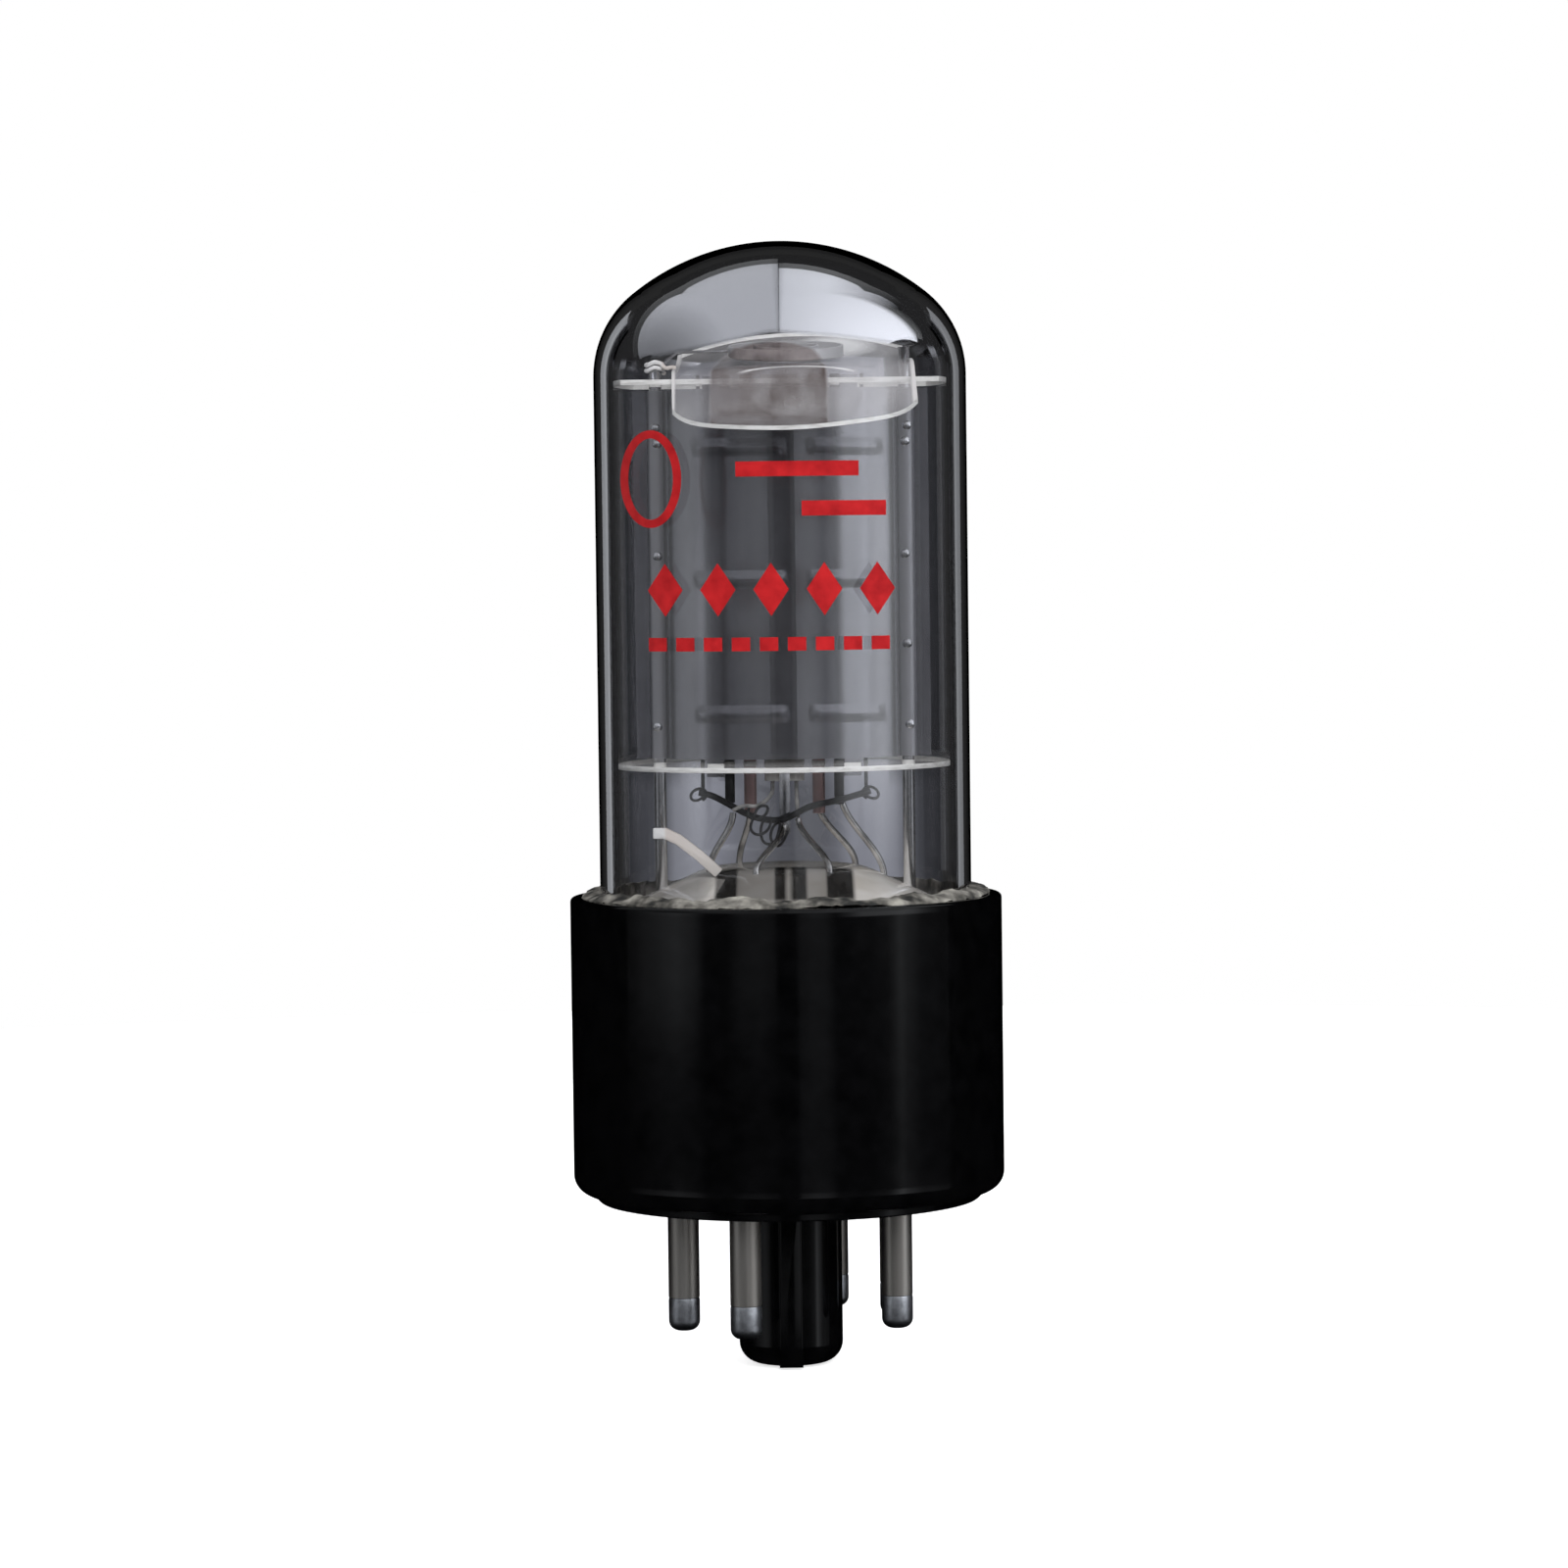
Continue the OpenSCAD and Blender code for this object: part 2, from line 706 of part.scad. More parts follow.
module grid_rod(x, r, z0, z1) {
    translate([x, 0, z0]) cylinder(h = z1 - z0, r = r);
}

module grid_turns(x, y, r, turns, z0, z1) {
    c = 0.75 * y;
    half = [
        [x + r, 0],
        [x + r * 0.72, c * 0.55],
        [x * 0.62, y * 0.92],
        [0, y],
        [-x * 0.62, y * 0.92],
        [-x - r * 0.72, c * 0.55],
        [-x - r, 0]
    ];
    for (i = [0:turns - 1])
        for (m = [0, 1])
            mirror([0, m, 0])
                difference() {
                    slab(z0 + (z1 - z0) * i / (turns - 1), grid_wire)
                        intersection() {
                            polygon(band(half, -grid_wire, 0));
                            translate([-10, 0]) square([20, 5]);
                        }
                    for (s = [-1, 1])
                        translate([s * x, 0, z0 - 1]) cylinder(h = z1 - z0 + 2, r = r);
                }
}

module grid_1_rod_left() {
    color([0.62, 0.38, 0.30]) grid_rod(-g1_x, g1_r, mica_low_z - g1_foot, mica_top_top + top_stub);
}

module grid_1_rod_right() {
    color([0.62, 0.38, 0.30]) grid_rod(g1_x, g1_r, mica_low_z - g1_foot, mica_top_top + top_stub);
}

module grid_1_winding() {
    color([0.66, 0.64, 0.60]) grid_turns(g1_x, g1_y, g1_r, g1_turns, anode_z0 + 1, anode_z1 - 1.2);
}

module grid_2_rod_left() {
    color([0.20, 0.20, 0.21]) grid_rod(-g2_x, g2_r, mica_low_z - g2_foot + 0.1, mica_top_top + top_stub);
}

module grid_2_rod_right() {
    color([0.20, 0.20, 0.21]) grid_rod(g2_x, g2_r, mica_low_z - g2_foot - 0.1, mica_top_top + top_stub);
}

module grid_2_winding() {
    color([0.58, 0.57, 0.55]) grid_turns(g2_x, g2_y, g2_r, g2_turns, anode_z0 + 1, anode_z1 - 1.2);
}

// Cathode and heater

module sleeve_line(grow) {
    r = cathode_y + grow;
    for (s = [-1, 1]) translate([s * (cathode_x - cathode_y), 0]) circle(r = r);
    square([2 * (cathode_x - cathode_y), 2 * r], center = true);
}

module cathode_sleeve() {
    color([0.88, 0.87, 0.84])
        slab(mica_low_z - 1.1, mica_top_top + top_stub - mica_low_z + 1.1)
            difference() {
                sleeve_line(0);
                sleeve_line(-cathode_t);
            }
}

module heater() {
    r = heater_d / 2;
    low = mica_low_z - 0.4;
    high = mica_top_z - 1;
    color([0.80, 0.79, 0.77]) {
        wire([
            top_end[3][1] + [0, -lead_r - r, 0.2],
            [-2.2, -1.9, mica_low_z - 3],
            [-0.9, -0.35, mica_low_z - 2],
            [-0.9, 0, low],
            [-0.9, 0, high],
            [-0.3, 0, high + 0.4],
            [-0.3, 0, low],
            [0.3, 0, low - 0.4],
            [0.3, 0, high],
            [0.9, 0, high + 0.4],
            [0.9, 0, low],
            [0.9, -0.35, mica_low_z - 2],
            top_end[0][1] + [0, 0, 0.1]
        ], r);
    }
}

// a small strip from the sleeve down to its lead
module cathode_tab() {
    color([0.72, 0.71, 0.69]) {
        translate([-0.4, -cathode_y - tab_t, mica_low_z - 5.1]) cube([0.8, tab_t, 5]);
    }
}

// the dark square strip that joins both beam plates to the cathode's tab, lying on the tab's face
module beam_strap() {
    z = mica_low_z - strap_drop;
    color([0.10, 0.10, 0.11])
        translate([0, -cathode_y - tab_t, 0])
            rotate([90, 0, 0])
                linear_extrude(height = strap_d)
                    polygon(band([
                        [-beam_x - 0.3, z],
                        [-5.3, z - 0.3],
                        [-3.05, z - 1.6],
                        [-1.2, z - 2.15],
                        [0.2, z - 2.0],
                        [1.6, z - 1.25],
                        [3.6, z - 0.8],
                        [beam_x + 0.3, z]
                    ], -strap_d / 2, strap_d / 2));
}

// the cream strip that braces the cage on the stem
module stem_brace() {
    color([0.88, 0.84, 0.78])
        translate([0, -4.3, 0])
            rotate([90, 0, 0])
                linear_extrude(height = 0.6)
                    polygon(band([
                        [-9.75, 28.15],
                        [-8.9, 28.15],
                        [-7.9, 27.65],
                        [-6.4, 26.45],
                        [-4.95, 25.1]
                    ], -0.4, 0.4));
}

// Getter

module getter_cup() {
    color([0.60, 0.52, 0.45])
        translate([getter_x, getter_y, mica_top_top + getter_rise])
            rotate([getter_tilt, 0, 0])
                rotate_extrude()
                    polygon([
                        [getter_hole_r, 0],
                        [getter_r, 0],
                        [getter_r, getter_h],
                        [getter_r - getter_t, getter_h],
                        [getter_r - getter_t, getter_t],
                        [getter_hole_r + getter_t, getter_t],
                        [getter_hole_r + getter_t, getter_h],
                        [getter_hole_r, getter_h]
                    ]);
}

// the bent strip from the left anode rod up to the cup's wall
module getter_support() {
    z = mica_top_top;
    reach = norm([getter_x + anode_rod_x, getter_y]) - getter_r;
    color([0.72, 0.71, 0.69])
        translate([-anode_rod_x, 0, 0])
            rotate([90, 0, atan2(getter_y, getter_x + anode_rod_x)])
                translate([0, 0, -strip_w / 2])
                    linear_extrude(height = strip_w)
                        polygon(band([
                            [rod_r + 0.12, z + rod_top_left - 0.85],
                            [rod_r + 0.12, z + rod_top_left - 0.15],
                            [1.7, z + getter_rise + 0.35],
                            [reach - 0.04, z + getter_rise + 0.42]
                        ], -0.1, 0.1));
}

base_shell();
basing_cement();
pin_2();
pin_3();
pin_4();
pin_5();
pin_7();
pin_8();
tin_2();
tin_3();
tin_4();
tin_5();
tin_7();
tin_8();
lead_2();
lead_3();
lead_4();
lead_5();
lead_7();
lead_8();
spare_lead();
stem();
glass_envelope();
getter_flash();
bottom_mica();
top_mica();
mica_shield();
anode_front();
anode_back();
anode_rod_left();
anode_rod_right();
beam_plate_left();
beam_plate_right();
grid_1_rod_left();
grid_1_rod_right();
grid_1_winding();
grid_2_rod_left();
grid_2_rod_right();
grid_2_winding();
cathode_sleeve();
heater();
cathode_tab();
beam_strap();
stem_brace();
getter_cup();
getter_support();
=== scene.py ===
import json
import math

import bpy
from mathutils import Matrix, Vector

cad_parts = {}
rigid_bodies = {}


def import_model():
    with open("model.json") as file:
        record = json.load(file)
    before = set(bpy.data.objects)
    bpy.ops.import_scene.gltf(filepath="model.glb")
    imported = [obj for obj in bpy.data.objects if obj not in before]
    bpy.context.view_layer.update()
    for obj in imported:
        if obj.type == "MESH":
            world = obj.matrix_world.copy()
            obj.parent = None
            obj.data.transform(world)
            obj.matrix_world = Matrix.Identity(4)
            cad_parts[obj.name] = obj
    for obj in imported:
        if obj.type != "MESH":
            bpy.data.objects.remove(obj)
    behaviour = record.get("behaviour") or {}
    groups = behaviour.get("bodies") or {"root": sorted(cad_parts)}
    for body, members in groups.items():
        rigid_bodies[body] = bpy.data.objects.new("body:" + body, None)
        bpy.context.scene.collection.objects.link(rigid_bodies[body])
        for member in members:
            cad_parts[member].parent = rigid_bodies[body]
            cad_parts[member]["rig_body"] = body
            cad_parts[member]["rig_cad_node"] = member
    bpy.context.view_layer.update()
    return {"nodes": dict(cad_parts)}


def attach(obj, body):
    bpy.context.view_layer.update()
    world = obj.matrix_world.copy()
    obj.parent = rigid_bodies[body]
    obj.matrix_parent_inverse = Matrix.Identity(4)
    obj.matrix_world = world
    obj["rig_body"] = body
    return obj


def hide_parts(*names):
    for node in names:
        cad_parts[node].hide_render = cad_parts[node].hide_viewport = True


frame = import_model()

MM = 0.001
PINS = (2, 3, 4, 5, 7, 8)
PIN_CIRCLE_R = 8.725
PIN_R, PIN_L = 1.18, 9.6
BASE_R, BASE_H = 16.4, 23.1
KEY_R, KEY_L = 3.95, 12.6
WELL_R, LEDGE_Z = 14.6, 18.0
BULB_R = 14.1
GLASS_T = 1.0
DOME_Z = 62.45
DOME_H = 10.15
SHOULDER_R = 8.0
FOOT_Z = 18.5
FILM_EDGE_Z = 63.0
STEM_R, STEM_TOP_Z = 13.08, 25.4
LOW_MICA_Z = 32.9
ANODE_Z0, ANODE_Z1 = 33.6, 61.4
STAIN_Z = 62.3
ROD_X = 9.45
SHEET_T = 0.25
LEAD_R = 0.25
FLOOR_Z = -12.75


# Working steps that every piece goes through

def put_down():
    if bpy.context.object and bpy.context.object.mode != "OBJECT":
        bpy.ops.object.mode_set(mode="OBJECT")
    bpy.ops.object.select_all(action="DESELECT")


def take(ob):
    put_down()
    ob.select_set(True)
    bpy.context.view_layer.objects.active = ob


def edit_all():
    bpy.ops.object.mode_set(mode="EDIT")
    bpy.ops.mesh.select_all(action="SELECT")


def leave_edit():
    bpy.ops.object.mode_set(mode="OBJECT")


def select_where(ob, kind, wanted):
    """Selects the vertices, edges or faces whose middle passes the test, and nothing else."""
    bpy.ops.mesh.select_all(action="DESELECT")
    bpy.ops.mesh.select_mode(type=kind)
    leave_edit()
    me = ob.data
    for part in {"VERT": me.vertices, "EDGE": me.edges, "FACE": me.polygons}[kind]:
        if kind == "VERT":
            middle = part.co
        else:
            middle = sum((me.vertices[i].co for i in part.vertices), Vector()) / len(part.vertices)
        part.select = bool(wanted(middle / MM, part))
    bpy.ops.object.mode_set(mode="EDIT")


def finish_with(ob, kind, **settings):
    modifier = ob.modifiers.new(kind.title(), kind)
    for key, value in settings.items():
        setattr(modifier, key, value)
    take(ob)
    bpy.ops.object.modifier_apply(modifier=modifier.name)


def smooth(ob, angle=32):
    take(ob)
    bpy.ops.object.shade_smooth_by_angle(angle=math.radians(angle))


def first_point(name):
    """A piece that starts as one vertex at the origin, ready to be drawn out in edit mode."""
    put_down()
    bpy.ops.mesh.primitive_plane_add(size=MM, location=(0, 0, 0))
    ob = bpy.context.object
    ob.name = name
    edit_all()
    bpy.ops.mesh.select_mode(type="VERT")
    bpy.ops.mesh.merge(type="CENTER")
    return ob


def draw_line(points):
    """Draws an edge chain from the selected vertex through points in millimetres."""
    at = Vector((0, 0, 0))
    for i, p in enumerate(points):
        step = Vector(p) * MM - at
        at += step
        if i == 0:
            bpy.ops.transform.translate(value=step)
        else:
            bpy.ops.mesh.extrude_region_move(TRANSFORM_OT_translate={"value": step})


def lathe(name, line, steps=96, angle=32):
    """A turned piece: its profile in radius and height is spun once round the Z axis."""
    ob = first_point(name)
    draw_line([(r, 0, z) for r, z in line])
    bpy.ops.mesh.select_all(action="SELECT")
    bpy.ops.mesh.spin(steps=steps, angle=math.tau, center=(0, 0, 0), axis=(0, 0, 1))
    bpy.ops.mesh.select_all(action="SELECT")
    bpy.ops.mesh.remove_doubles(threshold=2e-6)
    bpy.ops.mesh.normals_make_consistent(inside=False)
    leave_edit()
    smooth(ob, angle)
    return ob


def move_mesh(ob, step=(0, 0, 0), turn=0.0, axis="X", about=(0, 0, 0)):
    """Turns and moves the mesh, and leaves the object at the origin."""
    take(ob)
    edit_all()
    if turn:
        bpy.ops.transform.rotate(value=math.radians(turn), orient_axis=axis,
                                 center_override=Vector(about) * MM)
    bpy.ops.transform.translate(value=Vector(step) * MM)
    leave_edit()


def another(ob, name, step):
    """A copy with its own mesh, moved by step in millimetres."""
    take(ob)
    bpy.ops.object.duplicate()
    copy = bpy.context.object
    copy.name = name
    move_mesh(copy, step)
    return copy


def join(name, obs):
    take(obs[0])
    for ob in obs[1:]:
        ob.select_set(True)
    bpy.ops.object.join()
    obs[0].name = name
    return obs[0]


def from_cad(node, name, bevel):
    """A copy of a CAD node, merged, with its flats cleaned and its sharp edges broken."""
    source = frame["nodes"][node]
    take(source)
    bpy.ops.object.duplicate()
    ob = bpy.context.object
    ob.name = name
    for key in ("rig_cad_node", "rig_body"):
        if key in ob:
            del ob[key]
    ob.parent = None
    ob.data.materials.clear()
    edit_all()
    bpy.ops.mesh.customdata_custom_splitnormals_clear()
    bpy.ops.mesh.remove_doubles(threshold=1e-6)
    bpy.ops.mesh.dissolve_limited(angle_limit=math.radians(0.6))
    leave_edit()
    finish_with(ob, "BEVEL", width=bevel * MM, segments=2, limit_method="ANGLE",
                angle_limit=math.radians(40))
    smooth(ob)
    return ob


def bent_wire(name, points, radius):
    """A round wire on one smooth curve through the run of points, made a mesh."""
    put_down()
    bpy.ops.curve.primitive_nurbs_path_add(location=(0, 0, 0))
    ob = bpy.context.object
    ob.name = name
    curve = ob.data
    spline = curve.splines[0]
    spline.points.add(len(points) - len(spline.points))
    for knot, p in zip(spline.points, points):
        knot.co = (p[0] * MM, p[1] * MM, p[2] * MM, 1)
    spline.order_u = 3
    spline.use_endpoint_u = True
    curve.resolution_u = 4
    curve.bevel_depth = radius * MM
    curve.bevel_resolution = 3
    curve.use_fill_caps = True
    bpy.ops.object.convert(target="MESH")
    smooth(ob, 60)
    return ob


def arc(cx, cz, r, a0, a1, n):
    """Points round a centre from one angle in degrees to another."""
    turns = [math.radians(a0 + (a1 - a0) * i / n) for i in range(n + 1)]
    return [(cx + r * math.cos(a), cz + r * math.sin(a)) for a in turns]


def rounded(line, r, n=5):
    """The same chain of points with each inner corner rounded."""
    out = [line[0]]
    for a, b, c in zip(line, line[1:], line[2:]):
        a, b, c = Vector(a), Vector(b), Vector(c)
        cut = min(r, (a - b).length * 0.45, (c - b).length * 0.45)
        p, q = b + (a - b).normalized() * cut, b + (c - b).normalized() * cut
        for i in range(n + 1):
            t = i / n
            out.append(tuple((1 - t) ** 2 * p + 2 * t * (1 - t) * b + t * t * q))
    return out + [line[-1]]


def resampled(line, step):
    """The chain with extra points, so that none are more than step apart."""
    out = [line[0]]
    for a, b in zip(line, line[1:]):
        n = max(1, math.ceil((Vector(b) - Vector(a)).length / step))
        out += [tuple(Vector(a).lerp(Vector(b), i / n)) for i in range(1, n + 1)]
    return out


# Materials

def shader_of(m):
    return m.node_tree.nodes["Principled BSDF"]


def new_material(name, colour, roughness, metallic=0.0, **more):
    """A new finish. More sockets may be set by name, with _ for a space."""
    m = bpy.data.materials.new(name)
    m.use_nodes = True
    sockets = shader_of(m).inputs
    sockets["Base Color"].default_value = (*colour, 1)
    sockets["Roughness"].default_value = roughness
    sockets["Metallic"].default_value = metallic
    for key, value in more.items():
        sockets[key.replace("_", " ")].default_value = value
    return m


def pattern(m, scale, stretch=(1, 1, 1), detail=4.0):
    """A noise on Object coordinates. scale is in features per metre."""
    tree = m.node_tree
    place = tree.nodes.new("ShaderNodeTexCoord")
    mapping = tree.nodes.new("ShaderNodeMapping")
    mapping.inputs["Scale"].default_value = stretch
    tree.links.new(place.outputs["Object"], mapping.inputs["Vector"])
    tex = tree.nodes.new("ShaderNodeTexNoise")
    tex.inputs["Scale"].default_value = scale
    tex.inputs["Detail"].default_value = detail
    tree.links.new(mapping.outputs["Vector"], tex.inputs["Vector"])
    return tex.outputs[0]


def ramp(m, source, stops):
    """A run of colours over stops of place and colour."""
    node = m.node_tree.nodes.new("ShaderNodeValToRGB")
    bar = node.color_ramp
    for element, (place, colour) in zip((bar.elements[0], bar.elements[1]), (stops[0], stops[-1])):
        element.position = place
        element.color = (*colour, 1)
    for place, colour in stops[1:-1]:
        bar.elements.new(place).color = (*colour, 1)
    m.node_tree.links.new(source, node.inputs["Fac"])
    return node.outputs["Color"]


def feed(m, source, socket):
    """Lets a value or a colour drive one of the finish's own sockets."""
    m.node_tree.links.new(source, shader_of(m).inputs[socket])


def colour_by(m, source, stops):
    feed(m, ramp(m, source, stops), "Base Color")


def mottle(m, dark, light, *where, low=0.3, high=0.7, **more):
    """Colours a finish from dark to light by a noise."""
    colour_by(m, pattern(m, *where, **more), [(low, dark), (high, light)])


def range_by(m, source, low, high, socket, from_low=0.3, from_high=0.7):
    """Stretches a value to the range from low to high, and feeds it to a socket if one is named."""
    node = m.node_tree.nodes.new("ShaderNodeMapRange")
    node.inputs["From Min"].default_value = from_low
    node.inputs["From Max"].default_value = from_high
    node.inputs["To Min"].default_value = low
    node.inputs["To Max"].default_value = high
    m.node_tree.links.new(source, node.inputs["Value"])
    if socket:
        feed(m, node.outputs["Result"], socket)
    return node.outputs["Result"]


def bump_by(m, source, strength, depth):
    node = m.node_tree.nodes.new("ShaderNodeBump")
    node.inputs["Strength"].default_value = strength
    node.inputs["Distance"].default_value = depth * MM
    m.node_tree.links.new(source, node.inputs["Height"])
    feed(m, node.outputs["Normal"], "Normal")


def along(m, axis, low, high):
    """0 to 1 as the place along one axis goes from low to high, in millimetres."""
    tree = m.node_tree
    place = tree.nodes.new("ShaderNodeTexCoord")
    split = tree.nodes.new("ShaderNodeSeparateXYZ")
    tree.links.new(place.outputs["Object"], split.inputs["Vector"])
    node = tree.nodes.new("ShaderNodeMapRange")
    node.inputs["From Min"].default_value = low * MM
    node.inputs["From Max"].default_value = high * MM
    tree.links.new(split.outputs[axis], node.inputs["Value"])
    return node.outputs["Result"]


def grey(v):
    return (v, v, v)


def worked_out(m, kind, *values):
    """One step of arithmetic. A value is a node's output or a plain number."""
    node = m.node_tree.nodes.new("ShaderNodeMath")
    node.operation = kind
    for socket, value in zip(node.inputs, values):
        if isinstance(value, float):
            socket.default_value = value
        else:
            m.node_tree.links.new(value, socket)
    return node.outputs[0]


def product(m, *shares):
    """The product of several 0 to 1 values."""
    total = shares[0]
    for share in shares[1:]:
        total = worked_out(m, "MULTIPLY", total, share)
    return total


def mixed(m, share, first, second):
    """The first colour going over to the second one as the share goes from 0 to 1."""
    node = m.node_tree.nodes.new("ShaderNodeMix")
    node.data_type = "RGBA"
    m.node_tree.links.new(share, node.inputs[0])
    for socket, value in ((node.inputs[6], first), (node.inputs[7], second)):
        if isinstance(value, tuple):
            socket.default_value = (*value, 1)
        else:
            m.node_tree.links.new(value, socket)
    return node.outputs[2]


def oval(m, centre, size, low=-100.0):
    """0 at an ellipse's centre in X and Z, 1 on its line. A low of 0 gives it straight sides below."""
    squares = []
    for axis, c, half, start in (("X", centre[0], size[0], -100.0), ("Z", centre[1], size[1], low)):
        far = range_by(m, along(m, axis, c + start * half, c + 100 * half), start, 100.0, None, 0.0, 1.0)
        squares.append(product(m, far, far))
    return worked_out(m, "ADD", *squares)


def steps(*marks):
    """Stops of grey from pairs of place and value."""
    return [(place, grey(value)) for place, value in marks]


def silver():
    """The film's mirror, which fades out along a slanted edge."""
    m = new_material("getter_silver", (0.80, 0.80, 0.82), 0.045, 1.0)
    edge_line = ramp(m, along(m, "X", -10, 10),
                     steps((0.0, 0.14), (0.265, 0.43), (0.47, 0.72), (0.70, 0.60), (1.0, 0.37)))
    above = worked_out(m, "SUBTRACT", along(m, "Z", FILM_EDGE_Z, FILM_EDGE_Z + 3.0), edge_line)
    range_by(m, above, 0.0, 1.0, "Alpha", -0.06, 0.07)
    bump_by(m, pattern(m, 120, detail=1.0), 0.05, 0.05)
    return m


def cream_glass():
    """The stem's glass, cream, with dark upright stripes over the front of its dome that are painted
    reflections, and painted shade at the left end of that front.
    """
    m = new_material("stem_glass", (0.72, 0.68, 0.62), 0.12, Coat_Weight=0.6, Coat_Roughness=0.05)
    cream = ramp(m, pattern(m, 320, detail=3.0), [(0.3, (0.74, 0.69, 0.62)), (0.7, (0.92, 0.89, 0.84))])
    # Painted reflections: dark upright stripes over the front of the dome, and painted shade towards its left
    # end.
    painted_reflections_and_shade = ramp(m, along(m, "X", -6.5, 6.5),
                 steps((0.0, 0.55), (0.09, 0.25), (0.11, 1), (0.215, 1), (0.235, 0.72), (0.43, 0.70),
                       (0.445, 1), (0.49, 1), (0.515, 0.6), (0.545, 1), (0.61, 1), (0.63, 0.62),
                       (0.725, 0.62), (0.74, 1), (0.875, 1), (0.90, 0)))
    height = range_by(m, along(m, "Z", 22.6, 25.2), 0.0, 1.0, None, 0.0, 0.35)
    front = range_by(m, along(m, "Y", -4.0, -2.0), 1.0, 0.0, None, 0.0, 1.0)
    share = product(m, painted_reflections_and_shade, height, front)
    feed(m, mixed(m, share, cream, (0.012, 0.011, 0.010)), "Base Color")
    bump_by(m, pattern(m, 260, detail=2.0), 0.35, 0.25)
    return m


def milky_mica():
    """The shield's sheet: milky, with the brown stain, a white crescent over it, a painted highlight at its
    upper right and white side rims.
    """
    m = new_material("shield_face", (0.86, 0.84, 0.84), 0.22, Alpha=0.35)
    milk = ramp(m, pattern(m, 240, detail=5.0), [(0.3, (0.40, 0.38, 0.39)), (0.7, (0.72, 0.70, 0.70))])
    arch = ramp(m, oval(m, (-0.8, STAIN_Z), (4.5, 3.5), 0.0),
                steps((0.0, 0.80), (0.70, 0.80), (0.84, 1), (0.98, 0)))
    smears = range_by(m, pattern(m, 520, (1, 1, 0.4), detail=6.0), 0.45, 1.0, None, 0.35, 0.6)
    stain = product(m, arch, smears)
    range_by(m, stain, 0.5, 0.03, "Specular IOR Level", 0.0, 0.55)
    ring = ramp(m, oval(m, (1.3, STAIN_Z), (4.8, 0.75)), steps((0.0, 0), (0.62, 0), (0.80, 1), (0.98, 0)))
    white_crescent = product(m, ring, along(m, "Z", 62.4, 62.7))
    # Painted highlight: a white, less clear patch on the sheet's upper right.
    painted_glint = ramp(m, oval(m, (4.3, 65.1), (3.6, 1.2)), steps((0.0, 1), (0.25, 1), (1.0, 0)))
    rims = ramp(m, along(m, "X", -8.2, 10.1),
                steps((0.0, 1), (0.024, 1), (0.032, 0), (0.968, 0), (0.976, 1)))
    colour = milk
    for share, over in ((stain, (0.075, 0.052, 0.044)), (white_crescent, grey(0.97)), (painted_glint, grey(0.97)),
                        (rims, (0.92, 0.90, 0.89))):
        colour = mixed(m, share, colour, over)
    feed(m, colour, "Base Color")
    cover = product(m, range_by(m, pattern(m, 380, detail=5.0), 0.13, 0.27, None),
                    range_by(m, along(m, "X", -5, 5), 0.50, 0.9, None, 0.0, 1.0))
    for share, more in ((stain, 0.62), (white_crescent, 0.6), (painted_glint, 0.4), (rims, 0.6)):
        cover = worked_out(m, "MULTIPLY_ADD", share, more, cover)
    feed(m, cover, "Alpha")
    bump_by(m, pattern(m, 200, detail=2.0), 0.35, 0.12)
    return m


def anode_sheet():
    """Grey sheet that is rougher along each crimp, where a lighter colour is a painted highlight."""
    m = new_material("anode_grey", (0.17, 0.17, 0.18), 0.38, 0.85)
    tone = ramp(m, pattern(m, 240, (1, 1, 0.35), detail=5.0),
                [(0.3, (0.17, 0.17, 0.185)), (0.72, (0.25, 0.25, 0.265))])
    # A lighter colour along each crimp is a painted highlight; the same mask raises the roughness there.
    crimp_highlight_and_roughness = ramp(m, along(m, "X", -11, 11), steps((0.0, 0), (0.040, 0), (0.050, 1), (0.093, 1), (0.103, 0),
                                                   (0.897, 0), (0.907, 1), (0.950, 1), (0.960, 0)))
    feed(m, mixed(m, crimp_highlight_and_roughness, tone, (0.42, 0.42, 0.44)), "Base Color")
    shine = range_by(m, pattern(m, 800, (1, 1, 0.1)), 0.20, 0.27, None)
    feed(m, mixed(m, crimp_highlight_and_roughness, shine, grey(0.5)), "Roughness")
    bump_by(m, pattern(m, 600, (1, 1, 0.15), detail=2.0), 0.05, 0.02)
    return m


def stained_cup():
    """The getter cup, brown below an arch and clean outside it."""
    m = new_material("cup_metal", (0.22, 0.17, 0.15), 0.5, 0.7)
    brown = ramp(m, pattern(m, 420, detail=5.0), [(0.3, (0.17, 0.13, 0.125)), (0.7, (0.66, 0.57, 0.56))])
    clean = ramp(m, oval(m, (-0.6, STAIN_Z), (4.3, 3.3), 0.0), steps((0.0, 0), (0.85, 0), (1.0, 1)))
    feed(m, mixed(m, clean, brown, (0.80, 0.80, 0.82)), "Base Color")
    bump_by(m, pattern(m, 900), 0.4, 0.05)
    return m


bulb_glass = new_material("bulb_glass", (0.90, 0.90, 0.92), 0.0, Transmission_Weight=1.0, IOR=1.5)
bump_by(bulb_glass, pattern(bulb_glass, 70, detail=1.0), 0.10, 0.06)

bakelite = new_material("bakelite", (0.001, 0.001, 0.001), 0.09, IOR=1.31)
range_by(bakelite, pattern(bakelite, 500, detail=5.0), 0.07, 0.11, "Roughness")
bump_by(bakelite, pattern(bakelite, 1500, detail=3.0), 0.04, 0.01)
mottle(bakelite, (0.0004, 0.0004, 0.0005), (0.0014, 0.0014, 0.0016), 700, high=0.75)

cement = new_material("basing_cement", (0.6, 0.58, 0.5), 0.85)
colour_by(cement, pattern(cement, 620, detail=6.0),
          [(0.36, (0.015, 0.015, 0.014)), (0.47, (0.08, 0.075, 0.066)), (0.58, (0.20, 0.19, 0.17)),
           (0.72, (0.38, 0.365, 0.32))])
bump_by(cement, pattern(cement, 2200, detail=6.0), 0.8, 0.12)

